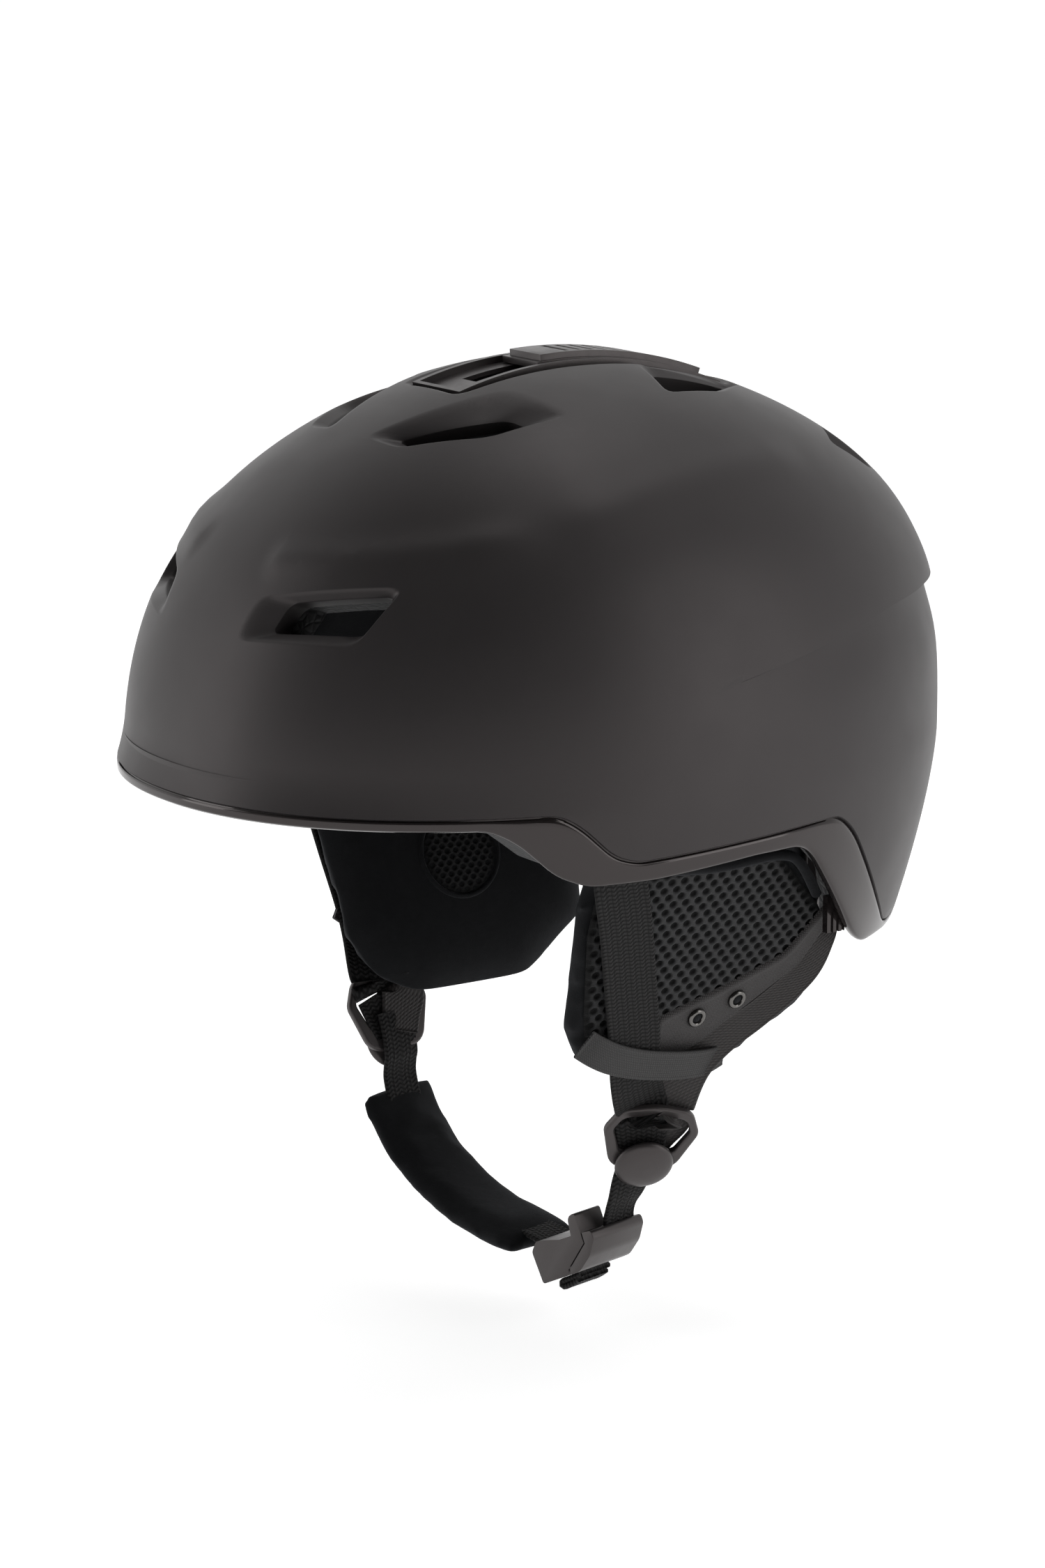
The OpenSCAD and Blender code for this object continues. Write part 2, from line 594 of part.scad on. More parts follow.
// Base: a bowed plate that rests on the tongue's slanted face and holds the left webbing
module buckle_base() color(plastic_colour) buckle_frame() difference() {
    plate([[12.9, -2, 0.4], [17.4, -2.2, 1.2], [17.6, -5, 2.5], [13.5, -10, 8], [7, -14, 6],
           [2.4, -14.4, 1], [2.8, -12.4, 0.4], [12.9, -5.7, 0.4]], -buckle_w / 2, buckle_w);
    plate([[14.2, 0, 0.2], [16.4, 0, 0.2], [15.6, -6, 0.3], [14.2, -6, 0.3]], -11.1, chin_w + 0.2);
}

// Tongue: a wedge with an upright lug, a release tab and a pocket for the magnet
module buckle_tongue() color(plastic_colour) buckle_frame() difference() {
    union() {
        plate([[-11.3, -15, 1], [-12.2, -4, 2], [-9, -1, 2], [-4, -1.4, 2], [2, -2.4, 2],
               [12.5, -2, 0.4], [12.5, -5.5, 0.4], [2.2, -12.3, 0.4], [1.4, -14.4, 0.6]],
              -buckle_w / 2, buckle_w);
        plate([[7.6, -3, 0.2], [8.6, 4, 2.4], [12.3, 4.8, 1], [12.5, -3, 0.2]], 0, buckle_w / 2);
    }
    plate([[-15, 1.4, 0.3], [-7, -3.7, 0.3], [-7, -7, 0.3], [-15, -1.9, 0.3]],
          -chin_w / 2 - 0.5, chin_w + 1);
    translate([7.35, -8.9, 0]) rotate([0, 0, -56.6]) rotate([0, 90, 0])
        translate([0, 0, -3]) cylinder(r = 2.6, h = 6);
}

module buckle_magnets() color(trim_colour) buckle_frame()
    translate([7.35, -8.9, 0]) rotate([0, 0, -56.6]) rotate([0, 90, 0])
        translate([0, 0, -2.9]) cylinder(r = 2.5, h = 2.6);

// Sewn end of the chin webbing, folded under the tongue
module strap_tail() color(web_colour) buckle_frame()
    plate([[-9, -15.2, 0.5], [0.6, -14.6, 0.5], [1.6, -16.4, 1.5], [-2, -18.6, 2], [-8, -19, 1.5]],
          -chin_w / 2, chin_w);

outer_shell();
lower_trim();
foam_liner();
vent_mesh();
slider_track();
vent_slider();
vent_shutter();
brow_pad();
crown_pad();
side_pad_left();
side_pad_right();
rear_pad();
occipital_cradle();
nape_pad();
fit_band_left();
fit_band_right();
temple_anchors();
dial_housing();
fit_dial();
dial_pinion();
goggle_clip_base();
goggle_clip_strap();
goggle_clip_snap();
ear_snaps();
strap_anchors();
strap_clips();
ear_tab_left();
ear_pad_left();
ear_mesh_left();
ear_window_left();
ear_band_left();
ear_eyelets_left();
front_strap_left();
rear_strap_left();
strap_keeper_left();
divider_left();
divider_cap_left();
chin_strap_left();
ear_tab_right();
ear_pad_right();
ear_mesh_right();
ear_window_right();
ear_band_right();
ear_eyelets_right();
front_strap_right();
rear_strap_right();
strap_keeper_right();
divider_right();
divider_cap_right();
chin_strap_right();
chin_pad();
buckle_base();
buckle_tongue();
buckle_magnets();
strap_tail();
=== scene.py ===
"""Looks of the ski helmet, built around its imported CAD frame. Meshes are made in millimetres."""

import json
import math

import bmesh
import bpy
import numpy as np
from mathutils import Matrix, Vector

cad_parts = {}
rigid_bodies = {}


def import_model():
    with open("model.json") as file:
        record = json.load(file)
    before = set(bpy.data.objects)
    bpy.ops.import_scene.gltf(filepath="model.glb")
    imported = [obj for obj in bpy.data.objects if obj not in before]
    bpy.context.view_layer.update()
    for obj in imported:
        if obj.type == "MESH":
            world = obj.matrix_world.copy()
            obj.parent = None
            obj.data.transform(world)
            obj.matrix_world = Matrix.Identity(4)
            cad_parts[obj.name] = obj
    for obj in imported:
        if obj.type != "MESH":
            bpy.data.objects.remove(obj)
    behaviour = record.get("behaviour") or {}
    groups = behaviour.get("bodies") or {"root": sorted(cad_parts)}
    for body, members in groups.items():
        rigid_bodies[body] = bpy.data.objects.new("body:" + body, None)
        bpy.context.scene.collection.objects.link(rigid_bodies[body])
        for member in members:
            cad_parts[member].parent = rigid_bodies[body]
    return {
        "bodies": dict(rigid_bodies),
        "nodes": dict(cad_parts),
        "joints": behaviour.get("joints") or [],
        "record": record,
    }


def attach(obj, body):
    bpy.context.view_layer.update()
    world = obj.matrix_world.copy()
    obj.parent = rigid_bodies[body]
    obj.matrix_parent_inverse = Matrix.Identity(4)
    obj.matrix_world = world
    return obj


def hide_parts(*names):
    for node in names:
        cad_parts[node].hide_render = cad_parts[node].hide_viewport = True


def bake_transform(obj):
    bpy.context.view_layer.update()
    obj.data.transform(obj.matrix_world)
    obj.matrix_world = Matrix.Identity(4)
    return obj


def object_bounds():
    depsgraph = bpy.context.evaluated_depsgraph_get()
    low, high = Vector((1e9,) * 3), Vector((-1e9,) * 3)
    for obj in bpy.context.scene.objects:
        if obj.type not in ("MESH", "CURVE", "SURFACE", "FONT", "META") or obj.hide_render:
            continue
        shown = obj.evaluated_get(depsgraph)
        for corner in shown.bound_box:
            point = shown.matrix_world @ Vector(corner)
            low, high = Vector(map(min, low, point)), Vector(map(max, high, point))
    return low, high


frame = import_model()
cad_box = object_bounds()
NODES = frame["nodes"]
MM = 0.001


# ---- Node graphs ----


class Graph:
    """A material's node tree, with short calls for the nodes it is made of."""

    def __init__(self, name, colour, roughness, specular=0.5):
        self.material = bpy.data.materials.new(name)
        self.material.use_nodes = True
        self.material.diffuse_color = (*colour, 1)
        self.tree = self.material.node_tree
        self.shader = self.tree.nodes["Principled BSDF"]
        self.shader.inputs["Base Color"].default_value = (*colour, 1)
        self.shader.inputs["Roughness"].default_value = roughness
        self.shader.inputs["Specular IOR Level"].default_value = specular

    def put(self, kind, inputs=(), **settings):
        node = self.tree.nodes.new(kind)
        for key, value in settings.items():
            setattr(node, key, value)
        for key, value in dict(inputs).items():
            self.feed(node.inputs[key], value)
        return node

    def feed(self, socket, value):
        if isinstance(value, bpy.types.NodeSocket):
            self.tree.links.new(value, socket)
        else:
            socket.default_value = value

    def calc(self, operation, a, b=0.0, c=0.0):
        return self.put("ShaderNodeMath", {0: a, 1: b, 2: c}, operation=operation).outputs[0]

    def objects(self):
        return self.put("ShaderNodeTexCoord").outputs["Object"]

    def lay(self):
        """The piece's own coordinates: along, across and height, in millimetres."""
        return self.put("ShaderNodeAttribute", attribute_name="lay").outputs["Vector"]

    def lay_parts(self):
        return self.put("ShaderNodeSeparateXYZ", {0: self.lay()}).outputs

    def noise(self, scale, detail=2.0, rough=0.5, where=None):
        node = self.put("ShaderNodeTexNoise", {
            "Vector": where or self.objects(), "Scale": scale, "Detail": detail, "Roughness": rough})
        return node.outputs["Fac"]

    def voronoi(self, scale, feature="F1"):
        node = self.put("ShaderNodeTexVoronoi", {"Vector": self.objects(), "Scale": scale}, feature=feature)
        return node.outputs["Distance"]

    def wave(self, value, pitch):
        """A smooth 0 to 1 wave along a coordinate in millimetres."""
        turn = self.calc("MULTIPLY", value, 2 * math.pi / pitch)
        return self.calc("MULTIPLY_ADD", self.calc("SINE", turn), 0.5, 0.5)

    def span(self, value, low, high, to_low=0.0, to_high=1.0):
        node = self.put("ShaderNodeMapRange", {
            "Value": value, "From Min": low, "From Max": high, "To Min": to_low, "To Max": to_high})
        return node.outputs[0]

    def tint(self, factor, dark, light):
        node = self.put("ShaderNodeMix", {"Factor": factor}, data_type="RGBA")
        self.feed(node.inputs[6], (*dark, 1))
        self.feed(node.inputs[7], (*light, 1))
        self.feed(self.shader.inputs["Base Color"], node.outputs[2])

    def rough(self, factor, low, high):
        self.feed(self.shader.inputs["Roughness"], self.span(factor, 0, 1, low, high))

    def bump(self, *layers):
        """Layers of (height, strength, depth in mm), the coarsest first."""
        normal = None
        for height, strength, depth in layers:
            node = self.put("ShaderNodeBump", {
                "Height": height, "Strength": strength, "Distance": depth * MM})
            if normal is not None:
                self.feed(node.inputs["Normal"], normal)
            normal = node.outputs["Normal"]
        self.feed(self.shader.inputs["Normal"], normal)

    def sheen(self, weight, roughness, colour=(1, 1, 1)):
        self.shader.inputs["Sheen Weight"].default_value = weight
        self.shader.inputs["Sheen Roughness"].default_value = roughness
        self.shader.inputs["Sheen Tint"].default_value = (*colour, 1)

    def warm(self):
        self.shader.inputs["Specular Tint"].default_value = (1.0, 0.91, 0.90, 1.0)


def shell_paint():
    g = Graph("shell_paint", (0.024, 0.022, 0.022), 0.42, 0.36)
    g.tint(g.noise(26, 3), (0.021, 0.019, 0.020), (0.026, 0.024, 0.024))
    g.rough(g.noise(60, 4), 0.40, 0.50)
    g.bump((g.noise(2600, 3, 0.6), 0.25, 0.06))
    g.warm()
    return g.material


def gloss_black():
    g = Graph("gloss_black", (0.012, 0.010, 0.010), 0.09)
    g.rough(g.noise(90, 4), 0.05, 0.14)
    g.bump((g.noise(240), 0.12, 0.1))
    g.warm()
    return g.material


def bead_foam():
    g = Graph("bead_foam", (0.022, 0.022, 0.023), 0.72, 0.35)
    beads = g.voronoi(330, "DISTANCE_TO_EDGE")
    # painted shade: the seams between beads, where the bump dips, are painted darker
    g.tint(g.span(beads, 0.0, 0.12), (0.010, 0.010, 0.011), (0.024, 0.024, 0.025))
    g.bump((g.span(beads, 0.0, 0.25), 0.6, 0.35), (g.noise(900, 3), 0.3, 0.1))
    return g.material


def satin_plastic():
    g = Graph("satin_plastic", (0.030, 0.027, 0.027), 0.34)
    g.tint(g.noise(140, 3), (0.0258, 0.02322, 0.02322), (0.033, 0.0297, 0.0297))
    g.rough(g.noise(320, 4), 0.29, 0.44)
    g.bump((g.noise(2200, 3, 0.65), 0.35, 0.07))
    g.warm()
    return g.material


def velvet():
    g = Graph("velvet", (0.0065, 0.0068, 0.0075), 0.95, 0.15)
    nap = g.noise(210, 4, 0.6)
    g.tint(nap, (0.0045, 0.0047, 0.0052), (0.0090, 0.0094, 0.0104))
    g.sheen(0.10, 0.45, (0.85, 0.88, 0.95))
    g.bump((nap, 0.35, 0.5), (g.noise(3400, 2, 0.7), 0.7, 0.25))
    return g.material


def webbing_cloth():
    """Chevron webbing: ribs along it, whose picks slant one way and then the other."""
    light, rib, pitch, slant = (0.022, 0.021, 0.021), 1.9, 1.5, 0.55
    g = Graph("webbing", light, 0.62, 0.12)
    along, across, _ = g.lay_parts()
    side = g.calc("PINGPONG", g.calc("ADD", across, 60.0), rib)
    pick = g.wave(g.calc("MULTIPLY_ADD", side, slant, along), pitch)
    groove = g.calc("ABSOLUTE", g.calc("SINE", g.calc("MULTIPLY", across, math.pi / rib)))
    thread = g.calc("MULTIPLY", g.calc("POWER", pick, 0.6), g.calc("POWER", groove, 0.45))
    fuzz = g.noise(5.0, 3, 0.7, g.lay())
    # painted shade: the gaps between picks and the grooves between ribs are painted dark, with random tone
    # from the fuzz on top
    painted_shade_and_tone = g.calc("MULTIPLY", thread, g.span(fuzz, 0.2, 0.8, 0.75, 1.15))
    g.tint(painted_shade_and_tone, tuple(0.10 * c for c in light), light)
    g.sheen(0.02, 0.5)
    g.bump((thread, 0.8, 0.32), (fuzz, 0.35, 0.1))
    return g.material


def plain_weave(name, light, pitch=0.62, twill=0.0):
    g = Graph(name, light, 0.60, 0.4)
    along, across, _ = g.lay_parts()
    warp = g.wave(g.calc("MULTIPLY_ADD", across, twill, along), pitch)
    thread = g.calc("MULTIPLY", g.calc("POWER", warp, 0.7), g.calc("POWER", g.wave(across, pitch), 0.5))
    fuzz = g.noise(4.0, 3, 0.7, g.lay())
    # painted shade: the gaps between threads are painted darker, with random tone from the fuzz on top
    painted_shade_and_tone = g.calc("MULTIPLY", thread, g.span(fuzz, 0.2, 0.8, 0.8, 1.1))
    g.tint(painted_shade_and_tone, tuple(0.3 * c for c in light), light)
    g.sheen(0.06, 0.5)
    g.bump((thread, 0.7, 0.18), (fuzz, 0.3, 0.1))
    return g.material


def spacer_knit():
    """Mesh painted darker the lower its surface lies, which its own height tells: painted shade at the bottom
    of its holes and where it dips at its edge.
    """
    g = Graph("spacer_knit", (0.014, 0.014, 0.015), 0.70, 0.15)
    along, across, height = g.lay_parts()
    fuzz = g.noise(3.0, 3, 0.7, g.lay())
    # painted shade from the height, times random tone from the fuzz
    painted_shade_and_tone = g.calc("MULTIPLY", g.span(height, 0.62, 1.16), g.span(fuzz, 0.2, 0.8, 0.7, 1.2))
    g.tint(painted_shade_and_tone, (0.0008, 0.0008, 0.0009), (0.030, 0.030, 0.031))
    g.sheen(0.06, 0.5)
    g.bump((g.calc("MULTIPLY", g.wave(along, 0.5), g.wave(across, 0.42)), 0.6, 0.12), (fuzz, 0.4, 0.12))
    return g.material


def knit_net():
    """Fine net: round holes in staggered rows, painted near-black as painted shade for the depth behind them.
    """
    g = Graph("knit_net", (0.02, 0.02, 0.021), 0.65, 0.35)
    holes = g.voronoi(420)
    g.tint(g.span(holes, 0.25, 0.55), (0.0008, 0.0008, 0.0009), (0.022, 0.022, 0.023))
    g.bump((g.span(holes, 0.2, 0.6), 0.9, 0.5))
    return g.material


def metal(name, colour, smooth):
    g = Graph(name, colour, smooth)
    g.shader.inputs["Metallic"].default_value = 1.0
    g.rough(g.noise(500, 4), smooth - 0.08, smooth + 0.10)
    g.bump((g.noise(900, 3), 0.15, 0.05))
    return g.material


MATERIALS = {
    "shell_matte": shell_paint(),
    "trim_gloss": gloss_black(),
    "foam": bead_foam(),
    "spacer_mesh": spacer_knit(),
    "satin_plastic": satin_plastic(),
    "velvet": velvet(),
    "woven_nylon": plain_weave("woven_nylon", (0.046, 0.041, 0.041)),
    "webbing": webbing_cloth(),
    "edge_tape": plain_weave("edge_tape", (0.042, 0.036, 0.035), 1.5, 0.9),
    "elastic": plain_weave("elastic", (0.028, 0.026, 0.026), 0.8, 0.7),
    "black_metal": metal("dark_metal", (0.13, 0.125, 0.12), 0.20),
    "magnet_steel": metal("magnet_steel", (0.42, 0.42, 0.43), 0.30),
    "net": knit_net(),
}


# ---- Making and placing pieces ----


def finish_mesh(obj, material, body, slot, replaced, sharp=None):
    mesh = obj.data
    mesh.materials.clear()
    mesh.materials.append(MATERIALS[material])
    mesh.shade_smooth()
    if sharp:
        mesh.set_sharp_from_angle(angle=math.radians(sharp))
    if body:
        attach(obj, body)
    slot or material
    if replaced:
        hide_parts(*replaced)
    return obj


def add(name, data):
    obj = bpy.data.objects.new(name, data)
    bpy.context.scene.collection.objects.link(obj)
    return obj


def new_mesh(name, points, faces, scale=MM):
    mesh = bpy.data.meshes.new(name)
    mesh.from_pydata([tuple(float(c) * scale for c in p) for p in points], [], faces)
    return mesh


def piece(name, points, faces, material, body, slot=None, replaced=(), lay=None, sharp=None):
    """A mesh from points in millimetres. body is left empty for a piece that is attached to no body."""
    mesh = new_mesh(name, points, faces)
    if lay is not None:
        field = mesh.attributes.new("lay", "FLOAT_VECTOR", "POINT")
        field.data.foreach_set("vector", np.asarray(lay, np.float32).ravel())
    mesh.validate()
    mesh.update()
    return finish_mesh(add(name, mesh), material, body, slot, replaced, sharp)


def grid_faces(rows, columns, closed=False):
    faces = []
    for j in range(rows - 1):
        for i in range(columns if closed else columns - 1):
            k = (i + 1) % columns
            faces.append((j * columns + i, j * columns + k, (j + 1) * columns + k, (j + 1) * columns + i))
    return faces


# ---- The shell's surface ----

SHELL_FRONT, SHELL_REAR, SHELL_HALF, SHELL_HIGH = 132.0, 145.0, 107.0, 124.0
BRIM_FLARE, BRIM_HIGH = 3.0, 14.0
NAPE_DEPTH, SQUARENESS, CROWN_SHIFT = 70.0, 2.15, 11.5
SHELL_EDGE = [[-170, 1], [-54, 1], [-47, -3], [-36, -13.5], [-28, -16], [44, -12.8],
              [52, -12.8], [60, -19], [79, -46], [88, -57.5], [170, -57.5]]
TRIM_EDGE = [[-170, -2.6], [-74, -2.8], [-66, -7], [-54, -18.3], [-44, -22.4], [-22, -22.4],
             [16, -19.8], [34, -19.8], [40, -22.6], [66, -55.5], [73, -60.5], [170, -60.5]]
LEDGE = [[-150, 31], [0, 32.5], [6, 34], [44, 41], [82, 48], [108, 49.5], [160, 50]]
FOCUS = np.array([0.0, 5.0, 20.0])


def unit(v):
    v = np.asarray(v, float)
    return v / np.maximum(np.linalg.norm(v, axis=-1, keepdims=True), 1e-9)


def lobe(t, swell, pinch):
    return np.sqrt(np.clip(1 - t * t, 0, None)) * (1 + swell * t ** 2 - pinch * t ** 4)


def reaches(z, depth):
    """Half width, front reach and rear reach of the shell at height z and depth [side, front, rear, top]."""
    t = np.clip(z, 0, None) / (SHELL_HIGH - depth[3])
    t = np.minimum(t, 1)
    tuck = np.clip(-z / NAPE_DEPTH, 0, 1) ** 1.5
    flare = BRIM_FLARE * np.clip(1 - np.clip(z, 0, None) / BRIM_HIGH, 0, None) ** 2
    half = (SHELL_HALF - depth[0]) * lobe(t, 0.27, 0.27) * (1 - 0.06 * tuck)
    front = (SHELL_FRONT - depth[1] + flare) * lobe(t, 0.17, 0.14)
    rear = (SHELL_REAR - depth[2]) * lobe(t, 0.41, 0.456) * (1 - 0.15 * tuck)
    return t, half, front, rear


def dome_points(angle, z, depth=(0, 0, 0, 0)):
    """Points on the shell where the angle turns from the brow (0) to the left side (90 degrees)."""
    angle, z = np.broadcast_arrays(np.radians(np.asarray(angle, float)), np.asarray(z, float))
    t, half, front, rear = reaches(z, depth)
    s, c = np.sin(angle), np.cos(angle)
    reach = np.where(c > 0, front, rear)
    with np.errstate(divide="ignore"):
        total = (np.abs(s) / np.maximum(half, 1e-6)) ** SQUARENESS
        total = total + (np.abs(c) / np.maximum(reach, 1e-6)) ** SQUARENESS
    r = total ** (-1 / SQUARENESS)
    return np.stack([r * s, CROWN_SHIFT * t * t - r * c, z], -1)


def inside_dome(p, depth):
    t, half, front, rear = reaches(p[..., 2], depth)
    y = p[..., 1] - CROWN_SHIFT * t * t
    reach = np.where(y < 0, front, rear)
    value = (np.abs(p[..., 0]) / np.maximum(half, 1e-3)) ** SQUARENESS
    value = value + (np.abs(y) / np.maximum(reach, 1e-3)) ** SQUARENESS
    return (value < 1) & (p[..., 2] < SHELL_HIGH - depth[3])


def cast(directions, depth=(0, 0, 0, 0)):
    """Where rays from the focus meet the shell."""
    d = unit(directions)
    low = np.full(d.shape[:-1] + (1,), 10.0)
    high = np.full(d.shape[:-1] + (1,), 220.0)
    for _ in range(34):
        middle = (low + high) / 2
        inner = inside_dome(FOCUS + d * middle, depth)[..., None]
        low = np.where(inner, middle, low)
        high = np.where(inner, high, middle)
    return FOCUS + d * low


def edge_height(edge, y, blur=3.0):
    ys, zs = np.array(edge, float).T
    offsets = np.linspace(-blur, blur, 7)
    return np.mean([np.interp(y + o, ys, zs) for o in offsets], axis=0)


def edge_along(edge, angle, depth=(0, 0, 0, 0)):
    """Height at which an edge line crosses the shell at each angle."""
    low = np.full_like(angle, -80.0)
    high = np.full_like(angle, 60.0)
    for _ in range(40):
        middle = (low + high) / 2
        above = middle > edge_height(edge, dome_points(angle, middle, depth)[..., 1])
        high = np.where(above, middle, high)
        low = np.where(above, low, middle)
    return (low + high) / 2


def grid_normals(p):
    """Outward normals of a closed grid of points [row, column]."""
    across = np.roll(p, -1, 1) - np.roll(p, 1, 1)
    up = np.gradient(p, axis=0)
    return unit(np.cross(across, up))


def line_distance(p, line):
    """Distance from points to a polyline, and how far along it from 0 to 1."""
    line = np.asarray(line, float)
    best = np.full(p.shape[:-1], 1e9)
    share = np.zeros(p.shape[:-1])
    n = len(line) - 1
    for i in range(n):
        a, b = line[i], line[i + 1]
        t = np.clip(((p - a) @ (b - a)) / ((b - a) @ (b - a)), 0, 1)
        d = np.linalg.norm(p - (a + t[..., None] * (b - a)), axis=-1)
        closer = d < best
        best = np.where(closer, d, best)
        share = np.where(closer, (i + t) / n, share)
    return best, share


def smoothstep(low, high, x):
    t = np.clip((x - low) / (high - low), 0, 1)
    return t * t * (3 - 2 * t)


BROW_CREASE = [[18, -107, 70], [24, -105, 72], [42, -97, 74], [55, -85, 75.6], [66, -72, 78],
               [71, -61, 80], [76, -44, 83]]
SIDE_CREASE = [[76, -44, 83], [78, -22, 88], [74, 12, 93], [69, 45, 95], [62, 66, 94]]


def relief(p):
    """How far the paint surface stands off the plain dome, in millimetres."""
    side = p.copy()
    side[..., 0] = np.abs(side[..., 0])
    height = np.zeros(p.shape[:-1])
    for line, tall, wide in ((BROW_CREASE, 1.1, 5.5), (SIDE_CREASE, 0.7, 8.0)):
        d, share = line_distance(side, line)
        fade = smoothstep(0, 0.2, share) * (1 - smoothstep(0.8, 1, share))
        height += tall * fade * np.exp(-(d / wide) ** 2)
    ledge = edge_height(LEDGE, p[..., 1])
    below = ledge - p[..., 2]
    shown = smoothstep(-6, 62, p[..., 1])
    under = np.where(below > 0, np.exp(-(np.clip(below, 0, None) / 15) ** 2), 0)
    over = np.where(below <= 0, np.exp(-(below / 11) ** 2), 0)
    height += shown * (0.7 * over - 2.4 * under)
    return height


# ---- Vents ----


class Opening:
    """A hole in the shell: the outlines of its frame and of its mouth, dip deep and wall thick."""

    def __init__(self, frame, mouth, dip, wall):
        self.frame = frame
        self.mouth = mouth
        self.middle = np.mean(mouth, axis=0)
        self.dip = dip
        self.wall = wall

    def flipped(self):
        turn = np.array([-1.0, 1.0, 1.0])
        return Opening((self.frame * turn)[::-1], (self.mouth * turn)[::-1], self.dip, self.wall)

    def planes(self):
        """Planes through the focus and each side of the frame, which face outwards."""
        normals = unit(np.cross(self.frame - FOCUS, np.roll(self.frame, -1, 0) - FOCUS))
        inward = normals @ (np.mean(self.frame, axis=0) - FOCUS) > 0
        return np.where(inward[:, None], -normals, normals)


def on_dome(corners, share, steps=4):
    """An outline on the dome from corners near it, with each corner cut round."""
    corners = np.asarray(corners, float)
    out = []
    for a, p, b in zip(np.roll(corners, 1, 0), corners, np.roll(corners, -1, 0)):
        reach = min(share, 0.42 * np.linalg.norm(a - p), 0.42 * np.linalg.norm(b - p))
        start, end = p + unit(a - p) * reach, p + unit(b - p) * reach
        for t in np.arange(steps + 1) / steps:
            out.append((1 - t) ** 2 * start + 2 * t * (1 - t) * p + t * t * end)
    return cast(np.array(out) - FOCUS)


def ring_loops(edges):
    """Vertices of the closed loops that the edges make, in order."""
    links = {}
    for e in edges:
        for a, b in (e.verts, reversed(e.verts)):
            links.setdefault(a, []).append(b)
    loops = []
    while links:
        start = next(iter(links))
        loop = [start]
        ahead = links[start][0]
        back = start
        while ahead is not start:
            loop.append(ahead)
            nexts = [v for v in links[ahead] if v is not back]
            back = ahead
            ahead = nexts[0] if nexts else start
        for v in loop:
            links.pop(v, None)
        loops.append(loop)
    return loops


def along_outline(outline, where, middle):
    """Points of an outline that lie in the same directions about its middle as the given points."""
    axis = unit(middle - FOCUS)
    first = unit(np.cross(axis, [0.0, 0.0, 1.0]))
    plane = np.stack([first, np.cross(axis, first)], -1)
    side = np.roll(outline, -1, 0) - outline
    x, y = ((outline - middle) @ plane).T
    run, rise = (side @ plane).T
    found = []
    for across, up in (where - middle) @ plane:
        area = across * rise - up * run
        area = np.where(np.abs(area) < 1e-9, 1e-9, area)
        far, share = (x * rise - y * run) / area, (x * up - y * across) / area
        met = (far > 0) & (share >= -1e-6) & (share <= 1 + 1e-6)
        i = np.argmin(np.where(met, far, np.inf))
        found.append(outline[i] + share[i] * side[i])
    return np.array(found)


RIM_STEPS = [0.0, 0.03, 0.10, 0.22, 0.45, 0.70, 0.88, 0.96, 1.0]


def open_up(bm, opening):
    """Cuts the opening's frame out of the shell and closes it with a dished rim and an inner wall."""
    reach = np.max(np.linalg.norm(opening.frame - opening.middle, axis=-1)) + 5
    middle = Vector(opening.middle)
    planes = opening.planes()
    near = [f for f in bm.faces if (f.calc_center_median() - middle).length < reach]
    geom = near + list({e for f in near for e in f.edges}) + list({v for f in near for v in f.verts})
    for normal in planes:
        geom = bmesh.ops.bisect_plane(bm, geom=geom, plane_co=Vector(FOCUS), plane_no=Vector(normal),
                                      dist=0.02)["geom"]
    near = [f for f in geom if isinstance(f, bmesh.types.BMFace)]
    away = np.array([f.calc_center_median() for f in near]) - FOCUS
    within = np.all(away @ np.array(planes).T < 1e-4, axis=1)
    inner = [f for f, kept in zip(near, within) if kept]
    inner_set = set(inner)
    rim = [e for f in inner for e in f.edges if any(g not in inner_set for g in e.link_faces)]
    loop = max(ring_loops(set(rim)), key=len)
    bmesh.ops.delete(bm, geom=inner, context="FACES")
    outer = np.array([v.co for v in loop])
    # the frame corners on the plain dome, the mouth in the same directions, and rows in between
    flat = cast(outer - FOCUS)
    lift = outer - flat
    mouth = along_outline(opening.mouth, flat, opening.middle)
    inward = unit(FOCUS - opening.middle)
    rows = [loop]
    for u in RIM_STEPS[1:]:
        base = cast(flat + u * (mouth - flat) - FOCUS)
        roll = opening.dip * (0.82 * smoothstep(0.0, 0.98, np.array(u)) + 0.18 * u ** 8)
        points = base + inward * roll + lift * (1 - u)
        rows.append([bm.verts.new(p) for p in points])
    rim_points = np.array([v.co for v in rows[-1]])
    for deep, pinch in ((0.5, 0.006), (1.3, 0.012), (opening.wall * 0.5, 0.03), (opening.wall, 0.06)):
        points = rim_points + inward * deep + (np.mean(rim_points, axis=0) - rim_points) * pinch
        rows.append([bm.verts.new(p) for p in points])
    n = len(loop)
    for a, b in zip(rows, rows[1:]):
        for i in range(n):
            k = (i + 1) % n
            bm.faces.new((a[i], a[k], b[k], b[i]))


